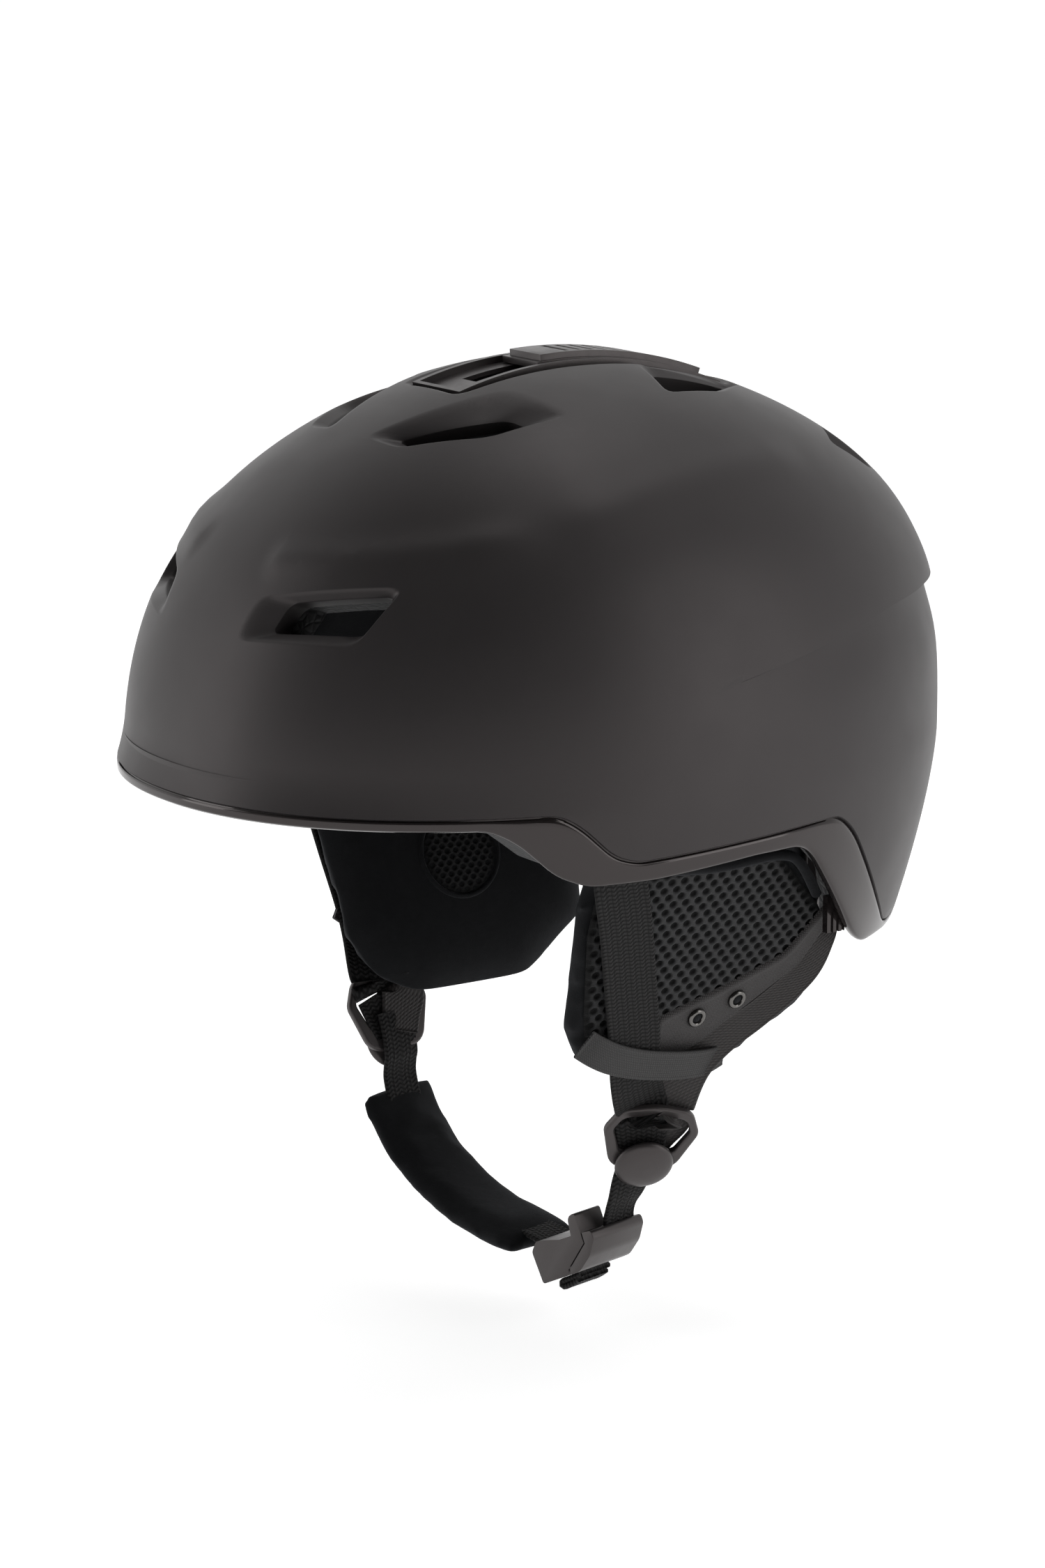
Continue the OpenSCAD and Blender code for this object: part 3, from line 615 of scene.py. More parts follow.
def shell_openings():
    front = Opening(
        on_dome([[24, -113, 62], [22, -120, 48.5], [60, -101, 50], [64, -84.5, 68]], 5),
        on_dome([[35, -109.5, 61.4], [33, -115.4, 52.5], [60, -99, 54], [62, -89, 65.4]], 3), 3.2, 7)
    top = Opening(
        on_dome([[9.6, -66, 104.7], [26, -64, 103], [43, -42, 106.6], [46.5, -12, 111.7],
                 [24.5, -21, 118]], 5),
        on_dome([[19, -60, 106.4], [28, -59, 105], [42.5, -39, 107.6], [43.5, -27, 109.8],
                 [36, -30, 112.4]], 3), 3.4, 6)
    crown = Opening(
        on_dome([[17, 31, 121], [41, 27, 115.5], [36, 55, 113.5], [12, 79, 110]], 5),
        on_dome([[22, 36, 120], [37, 33, 116], [32, 52, 114.5], [18, 69, 112.5]], 3), 3.0, 6)
    rear = Opening(
        on_dome([[25, 99, 98], [48, 88, 95.5], [46, 106, 84], [33, 117, 81]], 5),
        on_dome([[29, 101, 95.5], [44, 92, 94.0], [42, 105, 86], [34, 113, 84]], 3), 2.8, 6)
    pairs = [front, top, crown, rear]
    slot = Opening(slot_outline(17.3, -37.5, 74, 7), slot_outline(14.8, -34.5, 71, 5), 1.2, 5)
    return pairs + [o.flipped() for o in pairs] + [slot]


def slot_outline(half, start, end, share):
    return on_dome([[-half, start, 118], [half, start, 118], [half, end, 112], [-half, end, 112]], share)


# ---- Shell and trim ----


# how far the rolled edges run inwards and up, row by row
SHELL_LIP = [[0.45, -0.35], [1.1, -0.45], [1.9, -0.25], [2.3, 3], [2.3, 9]]
TRIM_LIP = [[0.5, -0.4], [1.3, -0.55], [2.6, -0.3], [4, 0.8], [4.4, 6]]


def lip(edge, out, steps):
    return np.array([edge - out * inward + np.array([0, 0, up]) for inward, up in steps])


def make_shell():
    columns = 400
    angle = np.arange(columns) * 360.0 / columns
    rim = edge_along(SHELL_EDGE, angle)
    ledge = edge_along(LEDGE, angle)
    start = np.degrees(np.arcsin(np.clip((ledge + 0.3) / SHELL_HIGH, -1, 1)))
    heights = np.concatenate([
        np.linspace(rim, ledge - 1.3, 34, endpoint=False),
        np.linspace(ledge - 1.3, ledge + 0.3, 5, endpoint=False),
        SHELL_HIGH * np.sin(np.radians(np.linspace(start, 89.2, 57)))])
    p = dome_points(angle, heights)
    n = grid_normals(p)
    p = p + n * relief(p)[..., None]
    rows = np.concatenate([lip(p[0], n[0], SHELL_LIP)[::-1], p])
    points = list(rows.reshape(-1, 3)) + [np.array([0, CROWN_SHIFT, SHELL_HIGH])]
    faces = grid_faces(len(rows), columns, True)
    last = (len(rows) - 1) * columns
    faces += [(last + i, last + (i + 1) % columns, len(points) - 1) for i in range(columns)]
    mesh = new_mesh("shell_skin", points, faces, 1)
    bm = bmesh.new()
    bm.from_mesh(mesh)
    for opening in shell_openings():
        open_up(bm, opening)
    loose = [v for v in bm.verts if not v.link_faces]
    bmesh.ops.delete(bm, geom=loose, context="VERTS")
    bmesh.ops.recalc_face_normals(bm, faces=bm.faces)
    bmesh.ops.scale(bm, vec=(MM, MM, MM), verts=bm.verts)
    bm.to_mesh(mesh)
    bm.free()
    finish_mesh(add("shell_skin", mesh), "shell_matte", "helmet", None, ["outer_shell"], 50)


def make_trim():
    """Gloss band under the shell: a hidden upper lip, a bulged face and a rounded lower edge."""
    columns = 480
    angle = np.arange(columns) * 360.0 / columns
    depth = (0.5, 0.5, 0.5, 0.5)
    top = edge_along(SHELL_EDGE, angle, depth)
    low = edge_along(TRIM_EDGE, angle, depth)
    share = np.array([-0.16, -0.02, 0.0, 0.03, 0.09, 0.2, 0.35, 0.5, 0.65, 0.8, 0.9, 0.96, 0.99])
    p = dome_points(angle, top - 0.9 + (low - top + 0.9) * share[:, None], depth)
    n = -grid_normals(p)
    edge = np.minimum(np.abs(share), np.abs(1 - share))
    bulge = np.where(share > 0, 0.42 * (1 - np.exp(-edge / 0.06)), -0.7)
    p = p + n * bulge[:, None, None]
    rows = np.concatenate([p, lip(p[-1], n[-1], TRIM_LIP)])[::-1]
    piece("trim_band", rows.reshape(-1, 3), grid_faces(len(rows), columns, True),
          "trim_gloss", "helmet", None, ["lower_trim"], sharp=60)


make_shell()
make_trim()


# ---- Outlines, plates, ribbons and patches ----


def rounded(points, steps=6):
    """Outline of [x, y, r] corners, each cut to an arc of about its radius."""
    out = []
    corners = np.array(points, float)
    for before, corner, after in zip(np.roll(corners, 1, 0), corners, np.roll(corners, -1, 0)):
        p, r = corner[:2], corner[2]
        a, b = before[:2] - p, after[:2] - p
        to_a, to_b = unit(a), unit(b)
        half = math.acos(float(to_a @ to_b)) / 2
        reach = min(r / math.tan(half), 0.45 * np.linalg.norm(a), 0.45 * np.linalg.norm(b))
        r = reach * math.tan(half)
        middle = p + unit(to_a + to_b) * r / math.sin(half)
        first, last = p + to_a * reach - middle, p + to_b * reach - middle
        for share in np.arange(steps + 1) / steps:
            out.append(middle + r * unit(first * (1 - share) + last * share))
    return np.array(out)


def transform(matrix, points):
    p = np.asarray(points, float)
    m = np.array(matrix)
    return p @ m[:3, :3].T + m[:3, 3]


def turned(axis, degrees):
    return Matrix.Rotation(math.radians(degrees), 4, axis)


def shifted(x, y, z):
    return Matrix.Translation((x, y, z))


UPRIGHT = Matrix(((0, 0, 1, 0), (1, 0, 0, 0), (0, 1, 0, 0), (0, 0, 0, 1)))
MIRROR = Matrix.Scale(-1, 4, (1, 0, 0))
PAD_LEAN = 19
EAR_LEFT = shifted(88, 0, -22) @ turned("Y", PAD_LEAN) @ UPRIGHT
LOOP = shifted(-2.5, -1, 0) @ turned("Z", 12)
BUCKLE = LOOP @ shifted(28.5, 0, -160) @ turned("Y", -24) @ turned("X", 90)


def divider_frame(place, spin, tilt, turn, side):
    flip = MIRROR if side < 0 else Matrix.Identity(4)
    return LOOP @ shifted(*place) @ turned("Z", turn) @ turned("Y", tilt) @ flip @ UPRIGHT @ turned("Z", spin)


def ear_frame(side):
    return (MIRROR if side < 0 else Matrix.Identity(4)) @ EAR_LEFT


def placed(name, points, faces, matrix, *rest, **more):
    """piece() with its points moved by a frame, and its faces turned round where the frame mirrors."""
    if matrix.to_3x3().determinant() < 0:
        faces = [tuple(reversed(f)) for f in faces]
    return piece(name, transform(matrix, points), faces, *rest, **more)


def inset(outline, amount):
    """The outline with each side moved in by an amount, or out where it is negative."""
    p = np.asarray(outline, float)
    tangent = unit(unit(np.roll(p, -1, 0) - p) + unit(p - np.roll(p, 1, 0)))
    normal = np.stack([-tangent[:, 1], tangent[:, 0]], -1)
    x, y = p.T
    area = np.sum(x * np.roll(y, -1) - np.roll(x, -1) * y)
    return p + normal * amount * (1 if area > 0 else -1)


def plate(name, outlines, low, high, bevel, matrix, material, body, **more):
    """A plate with rolled edges. The first outline is its edge and the others are holes in it."""
    curve = bpy.data.curves.new(name, "CURVE")
    curve.dimensions = "2D"
    curve.fill_mode = "BOTH"
    curve.extrude = (high - low) / 2 - bevel
    curve.bevel_depth = bevel
    curve.bevel_resolution = 3
    for k, outline in enumerate(outlines):
        p = inset(outline, bevel if k == 0 else -bevel)
        spline = curve.splines.new("POLY")
        spline.points.add(len(p) - 1)
        for point, (x, y) in zip(spline.points, p):
            point.co = (x, y, 0, 1)
        spline.use_cyclic_u = True
    obj = add(name + "_curve", curve)
    solid = obj.evaluated_get(bpy.context.evaluated_depsgraph_get()).to_mesh()
    points = [(v.co.x, v.co.y, v.co.z + (low + high) / 2) for v in solid.vertices]
    faces = [tuple(f.vertices) for f in solid.polygons]
    bpy.data.objects.remove(obj)
    bpy.data.curves.remove(curve)
    return placed(name, points, faces, matrix, material, body, sharp=38, **more)


def lathe(name, profile, matrix, material, body, segments=48, **more):
    """A turned piece about the frame's z axis, from [r, z] points; r 0 closes it."""
    turn = np.linspace(0, 2 * math.pi, segments, endpoint=False)
    points = [(r * math.cos(t), r * math.sin(t), z) for r, z in profile for t in turn]
    return placed(name, points, grid_faces(len(profile), segments, True), matrix, material, body, **more)


def catmull(points, count):
    """A smooth line of evenly spaced points through the given ones, of any number of columns."""
    p = np.asarray(points, float)
    n = len(p) - 1
    t = np.linspace(0, n, 24 * n + 1)
    i = np.minimum(t.astype(int), n - 1)
    f = (t - i)[:, None]
    a, b, c, d = p[np.maximum(i - 1, 0)], p[i], p[i + 1], p[np.minimum(i + 2, n)]
    fine = 0.5 * (2 * b + (c - a) * f + (2 * a - 5 * b + 4 * c - d) * f ** 2
                  + (3 * b - a - 3 * c + d) * f ** 3)
    step = np.concatenate([[0], np.cumsum(np.linalg.norm(np.diff(fine[:, :3], axis=0), axis=1))])
    where = np.linspace(0, step[-1], count)
    return np.stack([np.interp(where, step, fine[:, k]) for k in range(p.shape[1])], -1), where


def webbing(name, path, sides, width, thick, material, body, rib=1.9, pace=1.0, groove=0.10, **more):
    """A woven strap along a path: rounded selvedges, ribs along it, and its lay kept for the weave.

    width is one number or one per point of the path."""
    width = np.broadcast_to(np.asarray(width, float), (len(path),))
    line = np.column_stack([np.asarray(path, float), np.asarray(sides, float), width])
    length = np.sum(np.linalg.norm(np.diff(line[:, :3], axis=0), axis=1))
    line, along = catmull(line, max(6, int(length / pace)))
    centre, side, width = line[:, :3], line[:, 3:6], line[:, 6]
    ahead = unit(np.gradient(centre, axis=0))
    side = unit(side - ahead * np.sum(side * ahead, axis=1, keepdims=True))
    up = np.cross(ahead, side)
    full = float(np.max(width))
    count = max(8, int(full / rib * 4))
    v = np.linspace(-1, 1, count + 1)
    edge = (1 - np.abs(v)) * full / 2
    body_high = thick / 2 * np.sqrt(np.clip(1 - np.clip(1 - edge / (thick * 0.55), 0, 1) ** 2, 0, 1))
    ribs = groove * np.abs(np.cos(math.pi * v * full / 2 / rib)) ** 2
    selvedge = 0.10 * np.exp(-((edge - 0.9) / 0.5) ** 2)
    high = np.maximum(body_high - ribs * (edge > 1.0) + selvedge, 0.02)
    ring_v = np.concatenate([v, v[::-1][1:-1]])
    ring_h = np.concatenate([high, -high[::-1][1:-1]])
    points, lay = [], []
    for k in range(len(centre)):
        points.append(centre[k] + np.outer(ring_v * width[k] / 2, side[k]) + np.outer(ring_h, up[k]))
        lay.append(np.column_stack([np.full(len(ring_v), along[k]), ring_v * full / 2, ring_h]))
    m = len(ring_v)
    faces = grid_faces(len(centre), m, True)
    under = [0] + list(range(m - 1, count, -1)) + [count]
    last = (len(centre) - 1) * m
    for i in range(count):
        cap = tuple(dict.fromkeys((i, i + 1, under[i + 1], under[i])))
        faces += [cap, tuple(last + j for j in reversed(cap))]
    return piece(name, np.concatenate(points), faces, material, body, lay=np.concatenate(lay), **more)


def edge_distance(points, outline):
    """Signed distance from points to an outline, positive inside, and the nearest points on it."""
    a = np.asarray(outline, float)
    b = np.roll(a, -1, 0)
    best = np.full(len(points), 1e9)
    nearest = np.zeros_like(points)
    inside = np.zeros(len(points), bool)
    for p, q in zip(a, b):
        e = q - p
        t = np.clip(((points - p) @ e) / max(e @ e, 1e-12), 0, 1)
        foot = p + t[:, None] * e
        d = np.linalg.norm(points - foot, axis=1)
        closer = d < best
        best = np.where(closer, d, best)
        nearest[closer] = foot[closer]
        crosses = (p[1] > points[:, 1]) != (q[1] > points[:, 1])
        x = p[0] + (points[:, 1] - p[1]) * e[0] / (e[1] if abs(e[1]) > 1e-12 else 1e-12)
        inside ^= crosses & (points[:, 0] < x)
    return np.where(inside, best, -best), nearest


def patch(name, outline, cell, shape, matrix, material, body, **more):
    """A piece of cloth inside an outline, whose height is shape(points, distance to the edge)."""
    outline = np.asarray(outline, float)
    low, high = outline.min(0) - cell, outline.max(0) + cell
    xs, ys = np.arange(low[0], high[0] + cell, cell), np.arange(low[1], high[1] + cell, cell)
    flat = np.stack(np.meshgrid(xs, ys), -1).reshape(-1, 2)
    distance, nearest = edge_distance(flat, outline)
    snap = np.abs(distance) < 0.62 * cell
    flat[snap] = nearest[snap]
    distance[snap] = 0
    kept = distance >= 0
    faces = [f for f in grid_faces(len(ys), len(xs)) if all(kept[list(f)])]
    used = sorted({i for f in faces for i in f})
    index = {i: k for k, i in enumerate(used)}
    faces = [tuple(index[i] for i in f) for f in faces]
    p, d = flat[used], distance[used]
    points = np.column_stack([p, shape(p, d)])
    return placed(name, points, faces, matrix, material, body, lay=points, **more)


def tube(name, path, radius, material, body, sides=10, closed=False):
    """A round cord along points, such as piping; its lay runs along and around it."""
    p = np.asarray(path, float)
    ahead = unit(np.roll(p, -1, 0) - np.roll(p, 1, 0) if closed else np.gradient(p, axis=0))
    guide = unit(np.cross(ahead, [0.31, 0.17, 0.93]))[:, None]
    other = np.cross(ahead[:, None], guide)
    turn = np.linspace(0, 2 * math.pi, sides, endpoint=False)
    rings = p[:, None] + radius * (np.cos(turn)[:, None] * guide + np.sin(turn)[:, None] * other)
    along = np.concatenate([[0], np.cumsum(np.linalg.norm(np.diff(p, axis=0), axis=1))])
    lay = [np.column_stack([np.full(sides, a), turn * radius, np.full(sides, radius)]) for a in along]
    faces = grid_faces(len(p), sides, True)
    if closed:
        last = (len(p) - 1) * sides
        faces += [(last + i, last + (i + 1) % sides, (i + 1) % sides, i) for i in range(sides)]
    piece(name, rings.reshape(-1, 3), faces, material, body, lay=np.concatenate(lay))


# ---- Soft pieces ----


def evaluated_mesh(obj):
    return bpy.data.meshes.new_from_object(obj.evaluated_get(bpy.context.evaluated_depsgraph_get()))


def read(mesh, what="co"):
    values = np.zeros(3 * len(mesh.vertices))
    mesh.vertices.foreach_get(what, values)
    return values.reshape(-1, 3)


def write(mesh, points):
    mesh.vertices.foreach_set("co", points.ravel())
    mesh.update()


def modify(obj, *modifiers):
    """Applies modifiers, each a type and its settings."""
    for kind, settings in modifiers:
        modifier = obj.modifiers.new(kind, kind)
        for key, value in settings.items():
            setattr(modifier, key, value)
    obj.data = evaluated_mesh(obj)
    obj.modifiers.clear()


def blow_up(obj, start, cap):
    """The points after twenty frames as cloth under pressure, none further than cap from the start."""
    cloth = obj.modifiers.new("cloth", "CLOTH")
    cloth.settings.use_pressure = True
    cloth.settings.uniform_pressure_force = 4.0
    cloth.settings.effector_weights.gravity = 0
    cloth.settings.mass = 0.2
    cloth.settings.tension_stiffness = 12
    cloth.settings.compression_stiffness = 12
    cloth.settings.bending_stiffness = 0.4
    for number in range(1, 21):
        bpy.context.scene.frame_set(number)
    simulated = evaluated_mesh(obj)
    obj.modifiers.clear()
    shift = read(simulated) - start
    bpy.data.meshes.remove(simulated)
    bpy.context.scene.frame_set(1)
    far = np.linalg.norm(shift, axis=1, keepdims=True)
    return start + shift * np.minimum(1, cap * MM / np.maximum(far, 1e-9))


def inflate(name, mesh, body, replaced, voxel, shrink, cap, limit=None):
    """Padded piece from a closed mesh in metres: remeshed, drawn in, and blown up as cloth."""
    obj = add(name, mesh)
    modify(obj, ("REMESH", {"mode": "VOXEL", "voxel_size": voxel * MM}),
           ("SMOOTH", {"factor": 0.5, "iterations": 3}))
    normals = read(obj.data, "normal")
    start = read(obj.data) - normals * shrink * MM
    write(obj.data, start)
    moved = start + normals * cap * 0.6 * MM
    moved = blow_up(obj, start, cap)
    if limit is not None:
        moved = limit(moved / MM) * MM
    write(obj.data, moved)
    modify(obj, ("SMOOTH", {"factor": 0.5, "iterations": 2}), ("SUBSURF", {"levels": 1, "render_levels": 1}))
    finish_mesh(obj, "velvet", body, "velvet", replaced)


def inflate_node(node, body="helmet", **more):
    inflate(node + "_soft", NODES[node].data.copy(), body, [node], **more)


def soften(node, body, width):
    """A moulded copy of a hard piece, with its sharp edges rolled over."""
    bm = bmesh.new()
    bm.from_mesh(NODES[node].data)
    bmesh.ops.remove_doubles(bm, verts=bm.verts, dist=0.01 * MM)
    bmesh.ops.dissolve_limit(bm, angle_limit=0.01, verts=bm.verts, edges=bm.edges)
    sharp = [e for e in bm.edges if e.is_manifold and e.calc_face_angle(0) > 0.6]
    bmesh.ops.bevel(bm, geom=sharp, offset=width * MM, segments=3, profile=0.5, affect="EDGES",
                    clamp_overlap=True)
    bm.verts.index_update()
    points = [v.co / MM for v in bm.verts]
    faces = [tuple(v.index for v in f.verts) for f in bm.faces]
    bm.free()
    piece(node + "_moulded", points, faces, "satin_plastic", body, replaced=[node], sharp=50)


# ---- Ear pads ----

PAD_OUTLINE = [[-33, -1, 3], [-34.5, -16, 8], [-29, -62, 10], [-20, -76.5, 9], [-4, -84.5, 14],
               [40, -84, 12], [68, -66, 6], [71, -44, 8], [62, -20, 8], [40, 0, 4]]
MESH_OUTLINE = [[-30, -4, 2], [-30, -24, 4], [-24, -56, 6], [-20, -71, 4], [20, -74, 4],
                [58, -48, 6], [63, -30, 6], [38, -4, 4]]
BAND_OUTLINE = [[4, -59.5, 2], [28, -51.5, 8], [50, -43, 14], [62.5, -26, 2], [67, -31, 2],
                [57.5, -48.5, 8], [23, -72.5, 6], [4, -81, 2]]
EYELETS = [[19.2, -61.3], [34, -57]]
EYELET_PROFILE = [[0.0, 0.9], [1.5, 0.9], [1.7, 1.2], [1.72, 2.9], [1.95, 3.3], [2.4, 3.5], [2.9, 3.38],
                  [3.25, 3.0], [3.35, 2.5], [3.2, 2.2]]
WINDOW_AT, WINDOW_R = (17, -38), 15


def hole_depth(p, pitch_x, pitch_y, r):
    """How far a point is into a staggered round hole, from 0 on the web to 1 in the hole."""
    row = np.round(p[:, 1] / pitch_y)
    best = np.full(len(p), 1e9)
    for dr in (-1, 0, 1):
        j = row + dr
        offset = np.where(j % 2 == 0, 0.0, pitch_x / 2)
        i = np.round((p[:, 0] - offset) / pitch_x)
        dx, dy = p[:, 0] - i * pitch_x - offset, (p[:, 1] - j * pitch_y) * 1.12
        best = np.minimum(best, np.hypot(dx, dy))
    return 1 - smoothstep(r - 0.55, r + 0.35, best)


def mesh_height(p, d):
    hole = hole_depth(p, 4.8, 2.75, 1.35)
    return 1.25 - 1.05 * hole * (1 - np.exp(-d / 1.6)) - 1.5 * np.exp(-d / 1.3)


def window_height(p, d):
    hole = hole_depth(p, 3.4, 1.96, 0.95)
    return 0.9 - 0.8 * hole * (1 - np.exp(-d / 1.4)) - 1.1 * np.exp(-d / 1.2)


def band_height(p, d):
    puff = 0.25 * np.sin(p[:, 0] * 0.55 + p[:, 1] * 0.2) * smoothstep(1.5, 5, d)
    hem = 0.22 * np.exp(-((d - 1.6) / 0.6) ** 2)
    return 2.25 + 0.25 * puff + hem - 1.15 * np.exp(-d / 0.45)


def circle(x, y, r, count=48):
    turn = np.linspace(0, 2 * math.pi, count, endpoint=False)
    return np.column_stack([x + r * np.cos(turn), y + r * np.sin(turn)])


def slab(outline, low, high, matrix):
    """A closed prism as a mesh in metres."""
    n = len(outline)
    points = transform(matrix, [(x, y, z) for z in (low, high) for x, y in outline])
    faces = [tuple(range(n))[::-1], tuple(range(n, 2 * n))]
    faces += [(i, (i + 1) % n, n + (i + 1) % n, n + i) for i in range(n)]
    mesh = new_mesh("slab", points, faces)
    bm = bmesh.new()
    bm.from_mesh(mesh)
    bmesh.ops.recalc_face_normals(bm, faces=bm.faces)
    bm.to_mesh(mesh)
    bm.free()
    return mesh


def make_ear(side):
    tag = "left" if side > 0 else "right"
    ear = "ear_" + tag
    frame_ear = ear_frame(side)
    back = np.array(frame_ear.inverted())

    def keep_flat(p):
        """The pad stays under the cloth on its outer face, and rounds over outside it."""
        local = transform(back, p)
        distance, _ = edge_distance(local[:, :2], rounded(MESH_OUTLINE))
        rim = np.clip(edge_distance(local[:, :2], rounded(PAD_OUTLINE))[0], 0, None)
        top = np.where(distance > 0, -0.3, -0.3 + 0.9 * (1 - np.exp(distance / 3.0)))
        if side < 0:
            top = top - 2.6 * smoothstep(66, 71, -local[:, 1]) * (1 - smoothstep(2, 10, local[:, 0]))
        local[:, 2] = np.clip(local[:, 2], -3.2 - 9.6 * (1 - np.exp(-rim / 7.0)), top)
        return transform(frame_ear, local)

    block = slab(inset(rounded(PAD_OUTLINE), -0.9), -12, 0, frame_ear)
    inflate("ear_cushion_" + tag, block, ear, ["ear_pad_" + tag], 3.2, 1.0, 1.9, keep_flat)
    patch("spacer_panel_" + tag, rounded(MESH_OUTLINE), 0.42, mesh_height, frame_ear,
          "spacer_mesh", ear, replaced=["ear_mesh_" + tag])
    inner = frame_ear @ shifted(0, 0, -12.4) @ turned("Y", 180)
    patch("inner_window_" + tag, circle(-WINDOW_AT[0], WINDOW_AT[1], WINDOW_R), 0.4, window_height, inner,
          "spacer_mesh", ear, replaced=["ear_window_" + tag])
    ring = circle(-WINDOW_AT[0], WINDOW_AT[1], WINDOW_R + 0.3, 72)
    ring = transform(inner, np.column_stack([ring, np.full(len(ring), 0.25)]))
    tube("window_piping_" + tag, ring, 0.9, "velvet", ear, closed=True)
    patch("nylon_band_" + tag, rounded(BAND_OUTLINE), 0.5, band_height, frame_ear,
          "woven_nylon", ear, replaced=["ear_band_" + tag])
    for k, (x, y) in enumerate(EYELETS):
        lathe("eyelet_%s_%d" % (tag, k), EYELET_PROFILE[::-1], frame_ear @ shifted(x, y, 0), "black_metal",
              ear, replaced=["ear_eyelets_" + tag] if k == 0 else [])
        # painted shade: a dark disc laid over the band inside each eyelet, so its hole reads as shaded
        lathe("eyelet_hole_%s_%d" % (tag, k), [[0, 2.62], [1.85, 2.6], [1.9, 2.3], [0, 2.3]],
              frame_ear @ shifted(x, y, 0), "velvet", ear)
    top = [[-12, -2.5, 1.5], [14, -5, 1.6], [37, -4.2, 1.6], [47, -8.5, 1.5], [57.5, -22, 1.3]]
    tube("pad_binding_" + tag, transform(frame_ear, catmull(top, 90)[0]), 1.7, "velvet", ear)


def on_ear(side, path, lean=0.0):
    """A strap's path on the ear pad as world points, with its crosswise directions."""
    frame_ear = ear_frame(side)
    turn = np.array(frame_ear)[:3, :3]
    p = np.array(path, float)[:, :2]
    ahead = np.gradient(p, axis=0)
    ahead[:2] = p[2] - p[0]
    ahead[-2:] = p[-1] - p[-3]
    across = [turn @ np.array([-dy, dx, lean * math.hypot(dx, dy)]) for dx, dy in ahead]
    return list(transform(frame_ear, path)), across


def in_divider(divider, path, slant):
    turn = np.array(divider)[:3, :3]
    return list(transform(divider, path)), [turn @ np.array([1.0, slant, 0])] * len(path)


FRONT_NEAR = [[-25.8, 2, 2.6], [-24.2, -4.6, 3.5], [-18.8, -20.2, 3.7], [-11.4, -44, 3.7], [-5.2, -64, 3.7],
              [-1.9, -76, 3.5], [1.4, -85, 2.8]]
REAR_NEAR = [[66, -34, -0.4], [63.8, -39.5, 1.8], [58.5, -50.5, 3.2], [44, -62.5, 3.5], [32, -70, 3.4],
             [24.5, -77, 2.9], [20.5, -84, 2.4]]
FRONT_FAR = [[-24, 2, 2.6], [-22, -6, 3.5], [-19, -28, 3.7], [-16.2, -48, 3.6], [-16, -62, 3.0]]
REAR_FAR = [[66, -34, -0.4], [63.8, -39.5, 1.8], [56, -50.5, 3.2], [40, -59, 3.4], [22, -64, 3.0],
            [6, -68, 2.6]]
DIVIDER_FRONT = [[-4.9, 10, -1.0], [-3.6, 4, -0.4], [-2.0, -3, 0.1], [-0.6, -9, 0.3]]
DIVIDER_REAR = [[5.6, 10, -1.9], [5.4, 4, -1.8], [3.0, -3, -1.5], [1.2, -9, -1.4]]
KEEPER = [[-24.6, -62.6, 3.4], [-19.5, -65.8, 4.7], [-12.5, -69.4, 5.3], [-3, -72.9, 5.4],
          [7, -75.4, 5.4], [17, -77.2, 5.2], [26, -78.0, 4.6], [33, -77.4, 3.2]]


def make_straps(side, divider):
    near = side > 0
    tag = "left" if near else "right"
    ear, chin = "ear_" + tag, "chin_" + tag
    start = transform(ear_frame(side), [[4, -80, 3]])[0] * MM
    end = transform(divider, [[0, 12, 0]])[0] * MM
    front = FRONT_NEAR if near else FRONT_FAR
    rear = REAR_NEAR if near else REAR_FAR
    front_widths = [19.2] * (len(front) - 1) + [18.6, 17.8, 18, 16.6, 15]
    rear_widths = [8.5, 9, 9.5, 10, 11, 12.5, 14][-len(rear):] + [15.5, 17, 15, 13.5]
    for kind, path, lean, last, slant, widths, material, rib in (
            ("front", front, 0.0, DIVIDER_FRONT, 0.08, front_widths, "webbing", 1.9),
            ("rear", rear, 0.45 if near else 0.1, DIVIDER_REAR, -0.12, rear_widths, "edge_tape", 1.5)):
        points, across = on_ear(side, path, lean)
        tail, more = in_divider(divider, last, slant)
        strap = webbing(kind + "_webbing_" + tag, points + tail, across + more, widths, 1.6, material, None,
                        rib=rib, slot="webbing", replaced=[kind + "_strap_" + tag])
        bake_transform(strap)
    lift = 0 if near else 14
    points, across = on_ear(side, [[x, y + lift, z] for x, y, z in KEEPER])
    webbing("keeper_elastic_" + tag, points, across, [10.6, 10.8, 11, 11, 11, 10.8, 10.2, 9.0], 1.1,
            "elastic", ear, rib=1.2, groove=0.05, replaced=["strap_keeper_" + tag])


# ---- Dividers, chin straps and buckle ----

DIVIDER_OUTLINE = [[-16, 2, 5], [-12, 11, 6], [0, 13, 20], [12, 11, 6], [16, 2, 5], [10.5, -14.5, 7],
                   [-10.5, -14.5, 7]]
DIVIDER_WINDOW = [[-12.8, 2.4, 3], [-10.4, 7.8, 4], [0, 9.1, 20], [10.4, 7.8, 4], [12.8, 2.4, 3],
                  [9, -6.5, 2], [-9, -6.5, 2]]
CAP_PROFILE = [[0, 3.9], [3.5, 3.8], [6.2, 3.45], [8.2, 2.9], [9.2, 2.3], [9.6, 1.6], [9.5, 0.9], [8.6, 0.3],
               [8.0, 0.1], [0, 0.1]]
RIGHT_PATH = [[-54, 0, -118.2], [-54.6, 0, -122], [-54.6, 0, -127], [-51.6, 0, -135.5], [-43.5, 0, -146.5],
              [-31, 0, -155.5], [-16, 0, -161.5], [0, 0, -164.5], [10, 0, -165.5], [15.6, 0, -166.3],
              [20.5, 0, -167.4]]
LEFT_PATH = [[54.1, 2.8, -128.9], [51.5, 3.7, -134.3], [49.3, 2.8, -140], [46.9, 2.8, -146],
             [44.4, 3.3, -150.5], [43.2, 3.5, -154], [43.4, 3.5, -157.5]]
